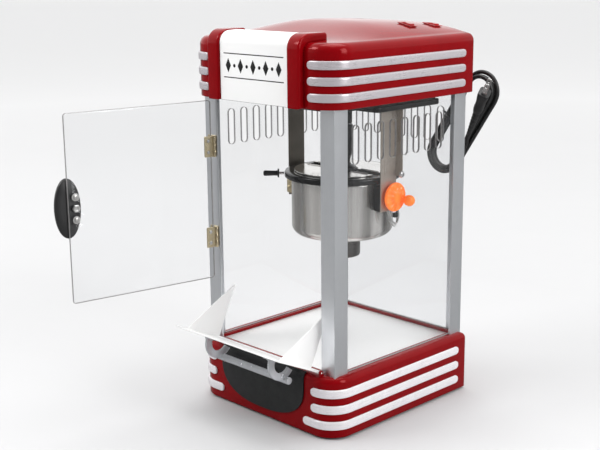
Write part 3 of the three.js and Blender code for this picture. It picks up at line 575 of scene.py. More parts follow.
def head_bend(radius, depth, next_depth):
    """Over the head from the right run to the left one."""
    points = []
    for k in range(1, BEND_STEPS):
        a = math.pi * k / BEND_STEPS
        now = depth + (next_depth - depth) * ease(k / BEND_STEPS)
        points.append(hank_point(HALF_RUN + radius * math.sin(a), radius * math.cos(a), now))
    return points


def cord_route():
    lead = [(64, 151.3, 420), (64, 155.5, 419.7), (64, 160, 418.7), (64, 164.5, 416.8), (64, 168.8, 413.8),
            (64, 172.3, 409.8), (64, 175.2, 405), (64, 177.1, 399.5), (64, 177.7, 393.5), (63.8, 177.7, 386),
            (63.2, 177.7, 382), (62.1, 177.7, 378), (60.6, 177.7, 374)]
    back, front = DEPTH, -DEPTH
    turns = [(OUTER, back), (INNER, back), (INNER, front), (OUTER, front)]
    points = [Vector(p) for p in lead]
    # The lead comes in part way down the first left run.
    points += hank_turn(turns[0], turns[0])[3:]
    points += head_bend(OUTER, back, back)
    points += hank_turn(turns[0], turns[1])
    points += head_bend(INNER, back, front)
    points += hank_turn(turns[2], turns[2])
    points += head_bend(INNER, front, front)
    # The last right run stops low down, and the cord goes from there to the plug's boot.
    points += hank_turn(turns[2], turns[3])[:-7]
    way = (PLUG.to_3x3() @ Vector((0, 0, 1))).normalized()
    tail = PLUG.translation - way * BOOT_LENGTH
    points += [tail - way * 9 + Vector((1.2, 0.9, 0)), tail, tail + way * 9]
    return points


def make_cord():
    points = cord_route()
    curve = bpy.data.curves.new("mains_cord", "CURVE")
    curve.dimensions = "3D"
    curve.bevel_depth = CORD_RADIUS * MM
    curve.bevel_resolution = 6
    curve.use_fill_caps = True
    spline = curve.splines.new("BEZIER")
    spline.bezier_points.add(len(points) - 1)
    for i, (knot, point) in enumerate(zip(spline.bezier_points, points)):
        before, after = points[max(i - 1, 0)], points[min(i + 1, len(points) - 1)]
        way = (after - before).normalized()
        knot.co = point * MM
        knot.handle_left = (point - way * (point - before).length / 3) * MM
        knot.handle_right = (point + way * (after - point).length / 3) * MM
        knot.handle_left_type = knot.handle_right_type = "FREE"
    spline.resolution_u = 5
    curve.materials.append(L["rubber"])
    cord = bpy.data.objects.new("mains_cord", curve)
    bpy.context.scene.collection.objects.link(cord)
    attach(cord, "cabinet")
    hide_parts("cord_lead", "cord_hank")
    length = sum((b - a).length for a, b in zip(points, points[1:]))
    return cord, length * MM


def superellipse(half_x, half_y, power, count=48):
    points = []
    for a in round_angles(count):
        c, s = math.cos(a), math.sin(a)
        points.append((half_x * math.copysign(abs(c) ** (2 / power), c),
                       half_y * math.copysign(abs(s) ** (2 / power), s)))
    return points


BLADE_SPACING = 12.7


def make_plug():
    """A moulded plug with finger grips, a ribbed boot and two blades."""
    stations = [(-17, 4.9, 4.9, 2), (-15, 6.0, 5.6, 2.4), (-10, 8.0, 6.4, 2.6), (-5, 9.2, 6.5, 3),
                (0, 8.8, 6.1, 3.2), (5, 9.2, 6.5, 3.6), (10, 10.0, 7.2, 4), (14.6, 10.5, 7.5, 4.6),
                (16.3, 10.3, 7.3, 4.6), (17, 9.4, 6.6, 4.6)]
    rings = [[(x, y, z) for x, y in superellipse(hx, hy, p)] for z, hx, hy, p in stations]
    shell = loft(rings)
    boot = []
    for i in range(45):
        z = i - BOOT_LENGTH
        r = 3.1 + 1.7 * ease(i / 44)
        groove = 0.55 if i % 5 in (2, 3) and 6 < i < 40 else 0.0
        boot.append((r - groove, z))
    boot = [(0, -BOOT_LENGTH), *boot, (0, -16)]
    body = piece("mains_plug_body", together(shell, turned(boot, 32)), "cabinet", "plug",
                 PLUG, ["mains_plug"], sharp=50)
    blades = []
    for side in (-1, 1):
        outline = [(-3.2, 16.5), (3.2, 16.5), (3.2, 31), (2.2, 33.6), (-2.2, 33.6), (-3.2, 31)]
        blades.append(side_plate(side * BLADE_SPACING / 2, [outline, circle(0, 29, 1.5)], 1.5, 0.25))
    made = piece("plug_blades", together(*blades), "cabinet", "screw", PLUG, sharp=50)
    return body, made


def make_relief():
    profile = [(2.85, 119.5), (8.6, 119.5), (8.6, 124), (6.3, 124.3), (6.3, 126.6), (8.4, 127)]
    for i in range(25):
        y = 127.6 + i * 0.98
        r = 7.9 - 3.9 * ease(i / 24) ** 0.8
        profile.append((r - (0.8 if i % 4 in (2, 3) and i > 2 else 0.0), y))
    profile += [(2.85, 151.3), (2.85, 119.5)]
    return piece("strain_relief_boot", turned(profile, 40), "cabinet", "rubber",
                 shift(64, 0, 420) @ about("X", -90), ["strain_relief"], sharp=50)


def make_tie():
    """A paper-covered wire tie round the left run, its ends twisted together."""
    place = Matrix((RUN_OUT, Vector((0, 1, 0)), RUN_UP)).transposed().to_4x4()
    place = Matrix.Translation(hank_point(-6, -21.5, 0)) @ place
    ring = [[(x * k, y * k, z) for x, y in superellipse(1, 1, 3.2, 40)]
            for k, z in ((5.8, -1.6), (6.3, -1.2), (6.3, 1.2), (5.8, 1.6))]
    band = loft(ring, looped=True)
    ends = []
    for phase in (0, math.pi):
        points = [(-6.2 - 0.5 * i, 0.9 * math.cos(phase + i * 0.9), 0.9 * math.sin(phase + i * 0.9))
                  for i in range(14)]
        ends.append(tube(points, 0.65, 8))
    return piece("cord_tie", together(band, *ends), "cabinet", "black_plastic", place,
                 sharp=50)


cord, cord_length = make_cord()
plug_body, plug_blades = make_plug()
relief = make_relief()
tie = make_tie()


# ---- Hood and base: plan outline, rings and skins ----

HALF_WIDTH, HALF_DEPTH, REAR_RADIUS = 120, 126, 5
BASE_RADIUS, BASE_TOP, BASE_LIP, WALL = 30, 74, 8, 2.5
GROW, HOOD_RADIUS, HOOD_BOTTOM, HOOD_EDGE, RISE, RIM = 0.75, 32, 387, 460, 17, 10


def plan(half_width, half_depth, front_radius, inset, steps=12):
    """Points round the plan, anticlockwise from the front right corner, at an inset."""
    corners = ((1, -1, front_radius, -90, 14), (1, 1, REAR_RADIUS, 0, 6),
               (-1, 1, REAR_RADIUS, 90, 6), (-1, -1, front_radius, 180, 14))
    arcs = []
    for side_x, side_y, radius, start, count in corners:
        held = max(radius, inset + 0.5)
        arcs.append(arc(side_x * (half_width - held), side_y * (half_depth - held), held - inset,
                        start, start + 90, count))
    points = []
    for i, bend in enumerate(arcs):
        points += bend
        (x0, y0), (x1, y1) = bend[-1], arcs[(i + 1) % 4][0]
        points += [(x0 + (x1 - x0) * k / steps, y0 + (y1 - y0) * k / steps) for k in range(1, steps)]
    return points


def base_plan(inset):
    return plan(HALF_WIDTH, HALF_DEPTH, BASE_RADIUS, inset)


def hood_plan(inset):
    return plan(HALF_WIDTH + GROW, HALF_DEPTH + GROW, HOOD_RADIUS, inset)


def roof_height(x, y):
    half_width, front, crest = HALF_WIDTH + GROW - RIM, -HALF_DEPTH - GROW + RIM, 5
    across = 1 - min(abs(x) / half_width, 1) ** 3.2
    fall = max(y - crest, 0) / (-front - crest)
    along = ease((y - front) / (crest - front)) * (1 - 0.4 * min(fall, 1) ** 2)
    return HOOD_EDGE + RISE * across * along


def at(points, height):
    return [(x, y, height(x, y) if callable(height) else height) for x, y in points]


def make_hood():
    rings = [at(hood_plan(WALL), HOOD_EDGE - 12), at(hood_plan(WALL), HOOD_BOTTOM),
             at(hood_plan(0.8), HOOD_BOTTOM), at(hood_plan(0.2), HOOD_BOTTOM + 0.25),
             at(hood_plan(0), HOOD_BOTTOM + 0.9)]
    rings += [at(hood_plan(0), z) for z in (400, 415, 430, 444)]
    for i in range(9):
        a = math.radians(90 * i / 8)
        back, up = RIM * math.cos(a), RIM * math.sin(a)
        rings.append(at(hood_plan(RIM - back), lambda x, y, up=up: roof_height(x, y) - RIM + up))
    top = hood_plan(RIM)
    for scale in (0.965, 0.93, 0.88, 0.82, 0.75, 0.67, 0.58, 0.48, 0.37, 0.25, 0.12, 0.02):
        rings.append(at([(x * scale, y * scale) for x, y in top], roof_height))
    shell = loft(rings, caps=False)
    count = len(rings[0])
    points = [v.co.copy() for v in shell.vertices]
    faces = [tuple(p.vertices) for p in shell.polygons]
    faces.append(tuple(range(len(points) - count, len(points))))
    shell = merged(mesh_of(points, faces))
    return piece("hood_cover", shell, "cabinet", "red", stands_for=["hood_shell"], sharp=62)


def make_rails():
    edge_y, edge_z = -HALF_DEPTH - GROW + RIM, HOOD_EDGE - RIM
    sunk = RIM - WALL / 2
    front, top, rear, bend, end = -135, 469.5, -89, 17, 3.4
    profile = [(front, HOOD_BOTTOM)]
    profile += arc(front + bend, top - bend, bend, 180, 90, 16)
    profile += arc(rear - end, top - end, end, 90, 0, 6)
    profile += [(rear, HOOD_EDGE + 0.6)]
    profile += arc(edge_y, edge_z, sunk, 90, 180, 8)
    profile += [(edge_y - sunk, HOOD_BOTTOM)]
    for word, x in (("left", -68), ("right", 68)):
        rail = side_plate(x, [profile], 20, 2.6, 5)
        piece(f"hood_rail_{word}", rail, "cabinet", "red", sharp=50)


SIGN_FRONT, SIGN_TOP, SIGN_BEND, SIGN_REAR = -132, 468, 14, -105


def make_sign():
    edge_y, edge_z = -HALF_DEPTH - GROW + RIM, HOOD_EDGE - RIM
    clear = RIM + 0.4
    profile = [(SIGN_FRONT, HOOD_BOTTOM + 0.5)]
    profile += arc(SIGN_FRONT + SIGN_BEND, SIGN_TOP - SIGN_BEND, SIGN_BEND, 180, 90, 14)
    profile += [(SIGN_REAR, SIGN_TOP + 0.5), (SIGN_REAR, HOOD_EDGE + 1.6)]
    profile += arc(edge_y, edge_z, clear, 90, 180, 8)
    profile += [(edge_y - clear, HOOD_BOTTOM + 0.5)]
    piece("sign_board", side_plate(0, [profile], 115.2, 0.5), "cabinet", "white",
          stands_for=["sign_panel"], sharp=50)
    # A plain printed ornament: a row of lozenges and dots between two fine lines.
    pitch = 21.5
    outlines = []
    for x in (pitch * (i - 2) for i in range(5)):
        outlines.append([(x - 4.6, 0), (x, -8.5), (x + 4.6, 0), (x, 8.5)])
    outlines += [circle(pitch * (i - 1.5), 0, 2.1) for i in range(4)]
    for z in (-14, 14):
        outlines.append([(-51, z - 0.6), (51, z - 0.6), (51, z + 0.6), (-51, z + 0.6)])
    marks = [plate([outline], 0.16, 0.04, 1) for outline in outlines]
    place = shift(0, SIGN_FRONT - 0.03, 428.5) @ FACE_ON
    piece("sign_ornament", together(*marks), "cabinet", "black_enamel", place, sharp=40)


def strip_mesh(side, half_width, half_depth, radius, front_end, height):
    """A crowned bar with round ends, bent from the front round the corner and back along the side."""
    thick, start = 2.0, 0.3
    side_end = 107
    straight = (half_width - radius) - front_end
    quarter = math.pi / 2 * radius
    run = (side_end + half_depth - radius)
    total = straight + quarter + run

    def spot(s):
        if s < straight:
            return (front_end + s, -half_depth), (0, -1)
        if s < straight + quarter:
            a = (s - straight) / radius
            way = (math.sin(a), -math.cos(a))
            return (half_width - radius + radius * way[0], -half_depth + radius + radius * way[1]), way
        return (half_width, -half_depth + radius + s - straight - quarter), (1, 0)

    half = height / 2
    ends = [half * (1 - math.cos(math.pi / 2 * i / 9)) for i in range(10)]
    stops = ends[1:] + [half + (straight - half) * i / 3 for i in (1, 2, 3) if straight > half]
    stops += [straight + quarter * i / 14 for i in range(1, 15)]
    stops += [straight + quarter + (run - half) * i / 12 for i in range(1, 13)]
    stops += [total - e for e in reversed(ends[1:-1])]
    rings = []
    for s in [0.02] + sorted(set(round(v, 4) for v in stops)) + [total - 0.02]:
        from_end = min(s, total - s)
        reach = half * math.sqrt(max(1 - max(1 - from_end / half, 0) ** 2, 0.0004))
        crown = thick * (1 - max(1 - from_end / 1.6, 0) ** 3) ** (1 / 3) if from_end < 1.6 else thick
        (x, y), (nx, ny) = spot(s)
        ring = []
        for k in range(17):
            t = -1 + 2 * k / 16
            t = math.copysign(abs(t) ** 0.55, t)
            out = start + crown * (1 - abs(t) ** 5) ** (1 / 5)
            ring.append((side * (x + nx * out), y + ny * out, reach * t))
        for t in (0.6, 0, -0.6):
            ring.append((side * (x + nx * start), y + ny * start, reach * t))
        rings.append(ring)
    return loft(rings)


def make_strips():
    # The base's strips take the painted light copy, the hood's the painted shade copy.
    sets = (("base", "painted_light_strip", (HALF_WIDTH, HALF_DEPTH, BASE_RADIUS), 10.5,
             (54.8, 35.1, 15.5), (85, 85, 72)),
            ("hood", "silver", (HALF_WIDTH + GROW, HALF_DEPTH + GROW, HOOD_RADIUS), 9.7,
             (436.2, 418.3, 400.2), (84, 84, 84)))
    for name, look, outline, height, levels, fronts in sets:
        for word, side in (("left", -1), ("right", 1)):
            for i, (level, front) in enumerate(zip(levels, fronts)):
                bar = strip_mesh(side, *outline, front, height)
                piece(f"{name}_trim_{word}_{i + 1}", bar, "cabinet", look,
                      shift(0, 0, level), [f"{name}_strip_{word}_{i + 1}"], sharp=70)


def make_base():
    rings = [at(base_plan(WALL), BASE_TOP - 6), at(base_plan(WALL), 0.3), at(base_plan(0.9), 0),
             at(base_plan(0.25), 0.25), at(base_plan(0), 1)]
    rings += [at(base_plan(0), z) for z in (22, 44, 60)]
    for i in range(9):
        a = math.radians(90 * i / 8)
        rings.append(at(base_plan(BASE_LIP - BASE_LIP * math.cos(a)),
                        BASE_TOP - BASE_LIP + BASE_LIP * math.sin(a)))
    hole = [(x, y + 5.5) for x, y in plan(102, 109.5, 3, 0)]
    rings += [at(hole, BASE_TOP), at(hole, BASE_TOP - 4)]
    parts = [loft(rings, caps=False)]
    pivot_y, pivot_z = TRAY_PIVOT
    for side in (-1, 1):
        ear = [(pivot_y - 2.6, 71), (pivot_y + 3.4, 71)] + arc(pivot_y, pivot_z, 2.6, 0, 180, 14)
        parts.append(side_plate(side * 94.75, [ear, circle(pivot_y, pivot_z, 1.5)], 3.4, 0.4))
    piece("base_cover", together(*parts), "cabinet", "red", stands_for=["base_shell"], sharp=50)


def make_plaque():
    """A dark sheet that hugs the base's front and rolls over its edge, its foot a broad U."""
    half_width, foot, shoulder, power = 73, 10.5, 55, 2.5
    lip_y, lip_z = -HALF_DEPTH + BASE_LIP, BASE_TOP - BASE_LIP
    columns = 44
    skins = []
    for out in (0.3, 2.0):
        grid = []
        for i in range(columns + 1):
            x = -half_width * math.cos(math.pi * i / columns)
            low = shoulder - (shoulder - foot) * max(1 - abs(x / half_width) ** power, 0) ** (1 / power)
            column = [(x, -HALF_DEPTH - out, low + (lip_z - low) * k / 8) for k in range(9)]
            for k in range(1, 9):
                a = math.radians(64 * k / 8)
                reach = BASE_LIP + out
                column.append((x, lip_y - reach * math.cos(a), lip_z + reach * math.sin(a)))
            grid.append(column)
        skins.append(grid)
    inner, outer = skins
    rings = [[*a, *reversed(b)] for a, b in zip(inner, outer)]
    piece("front_plaque", loft(rings), "cabinet", "charcoal", stands_for=["base_plaque"],
          bevel=0.5, angle=40)


# ---- Clear panes and door ----

PANE_THICK, PANE_LOW, PANE_HIGH = 2.7, 74.3, 393
SLOT_PITCH, SLOT_LEVEL, SLOT_REACH, SLOT_RADIUS = 21.4, 343.5, 17.7, 4.8


def slots(middle):
    loops = []
    for i in range(8):
        x = middle + (i - 3.5) * SLOT_PITCH
        loops.append(arc(x, SLOT_LEVEL + SLOT_REACH, SLOT_RADIUS, 0, 180, 16)
                     + arc(x, SLOT_LEVEL - SLOT_REACH, SLOT_RADIUS, 180, 360, 16))
    return loops


def make_pane(word, start, end, middle, place, thin_axis):
    outline = [(start, PANE_LOW), (end, PANE_LOW), (end, PANE_HIGH), (start, PANE_HIGH)]
    mesh = moved(plate([outline, *slots(middle)], PANE_THICK, 0.3, 1), *place)
    made = piece(f"{word}_window", mesh, "cabinet", "pane",
                 stands_for=[f"window_{word}"], sharp=30)
    edge_faces(made, Vector(thin_axis), "pane_edge")


def make_panes():
    for word, x in (("left", -106.85), ("right", 106.85)):
        make_pane(word, -110.2, 117.4, 1, (SIDE_ON, shift(x, 0, 0)), (1, 0, 0))
    make_pane("rear", -108.2, 108.2, 0, (FACE_ON, shift(0, 119.35, 0)), (0, 1, 0))


def rounded_outline(x0, x1, y0, y1, radius):
    corners = ((x1 - radius, y0 + radius, -90), (x1 - radius, y1 - radius, 0),
               (x0 + radius, y1 - radius, 90), (x0 + radius, y0 + radius, 180))
    return [point for x, y, start in corners for point in arc(x, y, radius, start, start + 90, 6)]


PULL_X, PULL_Z = 194.5, 271                    # the middle of the door's pull, on the door
STUD_X, STUD_APART = PULL_X - 8, 13.5
BACKWARD, FORWARD = about("X", -90), about("X", 90)   # which way a screw head faces


def pan_head(radius, height):
    """A domed screw head with a dimple at its middle, about its own axis, facing +Z."""
    dome = [(0, height * 0.55), (radius * 0.18, height * 0.55), (radius * 0.3, height * 0.95)]
    dome += [(radius * (0.3 + 0.7 * math.sin(a)), height * (0.12 + 0.83 * math.cos(a)))
             for a in (math.pi / 2 * i / 6 for i in range(1, 7))]
    dome += [(radius, 0), (0, 0)]
    return turned(list(reversed(dome)), 32)


def heads(radius, height, turn, *spots):
    """Screw heads at some spots, all turned the same way."""
    return [moved(pan_head(radius, height), shift(*spot) @ turn) for spot in spots]


def make_door():
    stud_levels = (PULL_Z - STUD_APART, PULL_Z + STUD_APART)
    holes = [circle(STUD_X, z, 2.6) for z in (stud_levels[0], PULL_Z, stud_levels[1])]
    sheet = face_plate(-2.7, [rounded_outline(3, 196, 157, 382, 3.5), *holes], 2.8, 0.6, 1)
    made = piece("door_sheet", sheet, "door", "pane", DOOR, ["door_panel"], sharp=30)
    edge_faces(made, (DOOR.to_3x3() @ Vector((0, 1, 0))), "pane_edge")
    # The pull: a dished oval outside the sheet, its studs and the catch magnet inside.
    rings = []
    dish = ((0.0, -5.2), (0.3, -5.3), (0.6, -6.2), (0.8, -8.1), (0.9, -9.1), (0.96, -9.3),
            (1.0, -8.6), (1.0, -6.6), (0.985, -5.0), (0.95, -4.45), (0.5, -4.4), (0.0, -4.4))
    for share, out in dish:
        k = max(share, 0.01)
        rings.append([(PULL_X + 16 * k * math.cos(a), out, PULL_Z + 35.5 * k * math.sin(a))
                      for a in round_angles(72)])
    piece("door_pull", loft(rings), "door", "black_plastic", DOOR, ["door_handle"], sharp=60)
    parts = []
    stud = [(0, -4.3), (1.8, -4.3), (1.8, 0), (0, 0)]
    washer = [(1.9, -1.0), (4.6, -1.0), (4.6, -0.6), (1.9, -0.5), (1.9, -1.0)]
    for z in stud_levels:
        place = shift(STUD_X, 0, z) @ BACKWARD
        parts += [moved(turned(stud, 20), place), moved(turned(washer, 32), place)]
        parts += heads(3.2, 1.3, BACKWARD, (STUD_X, -0.5, z))
    piece("pull_screws", together(*parts), "door", "screw", DOOR, sharp=40)
    nut = []
    for share, y in ((0.0, 0.9), (0.45, 0.9), (0.5, 1.6), (0.86, 1.7), (1.0, 1.1), (1.0, -0.6),
                     (0.92, -1.0), (0.0, -1.0)):
        k = max(share, 0.02)
        nut.append([(STUD_X + 5 * k * math.cos(a), y, PULL_Z + 5 * k * math.sin(a))
                    for a in round_angles(6)])
    piece("catch_magnet", loft(nut), "door", "screw", DOOR, bevel=0.25, angle=25)


HINGE_LEVELS, HINGE_HEIGHT = (197, 312), 26


def knuckle(low, high):
    return turned([(1.05, low), (2.0, low), (2.2, low + 0.25), (2.2, high - 0.25), (2.0, high),
                   (1.05, high), (1.05, low)], 32)


def pin_end(level, way):
    """The pin's crowned end, which points up or down."""
    profile = [(0, level), (1.5, level), (1.7, level + 0.3 * way), (1.2, level + 0.55 * way),
               (0, level + 0.6 * way)]
    return turned(profile if way > 0 else profile[::-1], 24)


def make_hinges():
    third, gap = HINGE_HEIGHT / 3, 0.2
    screw_levels = (6, 20)
    for i, level in enumerate(HINGE_LEVELS):
        place = shift(*DOOR_PIVOT, level)
        leaf = face_plate(2.15, [rounded_outline(-14, -1.2, 0, HINGE_HEIGHT, 1.2)], 1.1, 0.22)
        knuckles = [knuckle(0, third - gap), knuckle(2 * third + gap, HINGE_HEIGHT)]
        pin = turned([(0, 0), (1.0, 0), (1.0, HINGE_HEIGHT), (0, HINGE_HEIGHT)], 20)
        ends = [pin_end(HINGE_HEIGHT - 0.05, 1), pin_end(0.05, -1)]
        piece(f"hinge_fixed_leaf_{i + 1}", together(leaf, *knuckles, pin, *ends), "cabinet",
              "brass", place, [f"hinge_post_leaf_{i + 1}"], sharp=40)
        screws = heads(2.3, 0.9, FORWARD, *((-8.4, 1.6, z) for z in screw_levels))
        piece(f"hinge_fixed_screws_{i + 1}", together(*screws), "cabinet", "brass", place,
              sharp=40)
        place = DOOR @ shift(0, 0, level)
        leaf = face_plate(-0.45, [rounded_outline(1.5, 14, 0, HINGE_HEIGHT, 1.2)], 1.1, 0.22)
        middle = knuckle(third + gap, 2 * third - gap)
        piece(f"hinge_swing_leaf_{i + 1}", together(leaf, middle), "door", "brass",
              place, [f"hinge_door_leaf_{i + 1}"], sharp=40)
        screws = heads(2.3, 0.9, BACKWARD, *((8.4, 0.1, z) for z in screw_levels))
        piece(f"hinge_swing_screws_{i + 1}", together(*screws), "door", "screw", place,
              sharp=40)


# ---- Tray ----

def make_tray():
    sheet = face_plate(0, [rounded_outline(-92, 92, 0.5, 73, 1.2)], 1.6, 0.35)
    curl = [(1.15, -92), (1.9, -92), (1.9, 92), (1.15, 92), (1.15, -92)]
    pin = [(0, -96), (0.9, -96), (1.1, -95.7), (1.1, 95.7), (0.9, 96), (0, 96)]
    parts = [sheet, turned_along_x(curl, 28), turned_along_x(pin, 24)]
    gusset = [(0.4, 6), (70, 6), (69.6, 7.6), (68, 9), (2.6, 60.4), (1.2, 61), (0.4, 60.4)]
    parts += [side_plate(side * 82.75, [gusset], 1.5, 0.3) for side in (-1, 1)]
    piece("tray_sheet", together(*parts), "tray", "white", TRAY, ["tray_flap"], sharp=50)


def make_tray_pull():
    """Clear moulded pull: two broad hooked arms with a thick rim, and a round bar between them."""
    face, screw_x = -1.1, 51.5
    outer, inner = (arc(-3, 29, radius, 90, 258, 26) for radius in (21, 12))
    hook = [(face, 53), *outer[1:], *inner[:0:-1], (face, 38)]
    bar = [(0, -65), (3.4, -65), (4.15, -64.5), (4.4, -63.6), (4.4, 63.6), (4.15, 64.5), (3.4, 65), (0, 65)]
    parts = [turned_along_x(bar, 40, shift(0, -20.5, 15))]
    for side in (-1, 1):
        parts.append(side_plate(side * 56.25, [hook], 3.5, 0.7, 3))
        pad = plate([rounded_outline(-5.5, 5.5, 40, 52, 1.6)], 2.0, 0.4)
        parts.append(moved(pad, FACE_ON, shift(side * screw_x, face - 1.0, 0)))
    piece("tray_pull", together(*parts), "tray", "frosted", TRAY, ["tray_handle"],
          sharp=50)
    screws = heads(2.6, 1.2, FORWARD, *((side * screw_x, face - 2, 46) for side in (-1, 1)))
    piece("tray_pull_screws", together(*screws), "tray", "screw", TRAY, sharp=40)


# ---- Kettle ----

def make_bowl():
    radius, bottom, top, wall, bend = 64.5, 208, 281, 1.5, 12
    outer = [(0, bottom)] + arc(radius - bend, bottom + bend, bend, -90, 0, 12)
    outer += [(radius - 0.15, 232), (radius, 250), (radius, top - 3), (radius - 0.1, top - 0.4),
              (radius - 0.5, top), (radius - wall + 0.4, top), (radius - wall, top - 0.5)]
    inner = list(reversed(arc(radius - bend, bottom + bend, bend - wall, -90, 0, 10)))
    piece("kettle_bowl", turned(outer + inner + [(0, bottom + wall)], 112), "kettle",
          "pot", KETTLE, ["kettle_pot"], sharp=60)


def make_kettle_top():
    """The black rim with its bridge, hub and left lug, the brass pivot block, and the stirrer's sleeve."""
    ring = [(58, 281.4), (72.3, 281.4), (73, 282.1), (73, 287.2), (72.4, 288.5), (71.2, 289), (59, 289),
            (58.2, 288.6), (58, 288), (58, 281.4)]
    bridge = moved(plate([rounded_outline(-60, 60, -7.5, 7.5, 1)], 6.2, 0.7), shift(0, 0, 285.1))
    post = [(7.9, 282.3), (17, 283.4), (18, 284.2), (18, 293), (17.2, 294), (12, 296), (10.3, 298.5),
            (10.3, 302), (11.2, 306), (11.8, 308.6), (7.9, 308.6), (7.9, 282.3)]
    lug = side_plate(-71.9, [rounded_outline(-9, 9, 270, 282, 1.5)], 10, 0.8)
    block = side_plate(-73.8, [rounded_outline(-23, 8.5, 252, 270.5, 1.8)], 8, 0.6)
    bolt = heads(3.2, 1.8, FORWARD, (-73.8, -22.9, 259))
    piece("kettle_pivot_block", together(block, *bolt), "kettle", "brass", KETTLE, sharp=45)
    rim = together(turned(ring, 112), bridge, turned(post, 56), lug)
    piece("kettle_top_ring", rim, "kettle", "black_enamel", KETTLE, ["kettle_collar"],
          sharp=45)
    sleeve = [(8.3, 308.9), (13.2, 308.9), (13.5, 309.4), (13.5, 345.8), (12.9, 347), (8.3, 347),
              (8.3, 308.9)]
    piece("stirrer_sleeve", turned(sleeve, 56), "kettle", "black_plastic", KETTLE, sharp=45)


def make_grip():
    grip = [(0, 80), (5.6, 80), (5.6, 81.5), (5.1, 81.9), (3.3, 82.2), (3.15, 86), (3.3, 92), (3.6, 97),
            (3.2, 99.2), (2.0, 100), (0, 100)]
    rod = [(0, 73.6), (1.8, 73.6), (1.8, 80.2), (0, 80.2)]
    place = KETTLE @ shift(0, 0, 285) @ about("Z", 225)
    piece("kettle_grip", turned_along_x(grip, 40), "kettle", "black_plastic",
          place, ["kettle_handle"], sharp=45)
    piece("kettle_grip_rod", turned_along_x(rod, 24), "kettle", "screw", place, sharp=45)


def make_power_block():
    socket = side_plate(71.5, [rounded_outline(-14, 14, 247.2, 280.4, 2.5)], 12.6, 1.2, 3)
    collar = side_plate(76.6, [rounded_outline(-9, 9, 252, 268, 4)], 3, 0.6)
    piece("kettle_power_block", together(socket, collar), "kettle", "black_plastic", KETTLE,
          ["kettle_socket"], sharp=45)

    wires = []
    for k, (x, drop) in enumerate(((80.4, 26), (82.2, 20))):
        route = [(76 + 0.8 * k, 6 - 4 * k, 262), (79.5, 9 - 2 * k, 256), (x, 12, 250 - k),
                 (x, 13.5, 243 - drop * 0.3), (x - 0.6, 10, 240 - drop * 0.5),
                 (x - 2.4, 4, 243 - drop * 0.4), (x - 5, 0, 248), (x - 8, -3, 250)]
        wires.append(tube(smooth_line(route, 5), 1.15, 12))
    piece("heater_wires", together(*wires), "kettle", "screw", KETTLE, sharp=60)
    clip = moved(side_plate(80.6, [rounded_outline(-4.5, 4.5, 238, 244, 1.2)], 4, 0.5), shift(0, 11, 0))
    piece("wire_clip", clip, "kettle", "black_plastic", KETTLE, sharp=45)
    nut = heads(4.4, 3.2, ALONG_X, (90.9, 25, 293.5))
    piece("hanger_nut", together(*nut), "cabinet", "screw", sharp=40)


def make_knob():
    """A disc set off its axle, its outer face dimpled all round, and a ball near the rim."""
    knob = shift(0, KETTLE_Y, KETTLE_PIVOT_Z)
    axle = [(0, 78.1), (5, 78.1), (5, 84), (0, 84)]
    dimples = 11
    profile = ((0.02, 82.9, 0), (9, 82.9, 0), (14.5, 83.1, 0), (16.4, 83.6, 0), (17.5, 84.6, 0), (18, 86, 0),
               (17.9, 87.2, 0), (17.2, 88.4, 0.2), (15.9, 89.1, 0.7), (14.2, 89.4, 1.3), (12.2, 89.5, 1.5),
               (10.2, 89.6, 1.2), (8.4, 90, 0.5), (6.5, 90.7, 0), (3, 90.9, 0), (0.02, 90.95, 0))
    rings = []
    for radius, height, sunk in profile:
        rings.append([(radius * math.cos(a), radius * math.sin(a),
                       height - sunk * (0.5 - 0.5 * math.cos(dimples * a))) for a in round_angles(132)])
    disc = moved(loft(rings), ALONG_X, shift(0, 2.5, -2.5))
    wheel = together(turned_along_x(axle, 40), disc)
    piece("tilt_knob_disc", wheel, "kettle", "amber", knob, ["tilt_knob"], sharp=70)
    neck = [(0, 88), (4.6, 88), (4.2, 89.5), (3.7, 91), (3.9, 91.8)]
    ball = arc(0, 97.5, 7, -54, 90, 16)
    piece("tilt_knob_ball", turned_along_x(neck + ball, 56, shift(0, 16, -7.5)), "kettle",
          "ball", knob, sharp=70)


def make_heater():
    shell = [(0, 178), (20.4, 178), (22.2, 178.8), (23, 180.4), (23, 207.6), (21.5, 207.6), (21.5, 182),
             (0, 180.5)]
    piece("heater_can", turned(shell, 64), "kettle", "can", KETTLE, ["heater_housing"],
          sharp=50)


def make_small_screws():
    """Pan heads that hold the hood and base to the rear posts, and the hangers to the pan."""
    rear_spots = [(x, y, z) for x in (-104, 104)
                  for y, z in ((126.75, 395), (126.75, 440), (126, 16), (126, 56))]
    piece("rear_screws", together(*heads(2.6, 1.3, BACKWARD, *rear_spots)), "cabinet",
          "screw", sharp=40)
    hanger_spots = [(x, y, 379.2) for x in (-86, 86) for y in (7, 21)]
    piece("hanger_screws", together(*heads(2.4, 1.1, about("X", 180), *hanger_spots)), "cabinet",
          "screw", sharp=40)


def make_pan_box():
    """A shallow housing under the right of the hood's pan, round the lead's terminals."""
    case = moved(plate([rounded_outline(0, 101, -30, 87, 7)], 7.0, 1.6, 4), shift(0, 0, 377.6))
    piece("hood_pan_box", case, "cabinet", "black_sheet", sharp=50)


make_hood()
make_pan_box()
make_rails()
make_sign()
make_strips()
make_base()
make_plaque()
make_panes()
make_door()
make_hinges()
make_tray()
make_tray_pull()
make_bowl()
make_kettle_top()
make_grip()
make_power_block()
make_knob()
make_heater()
make_small_screws()

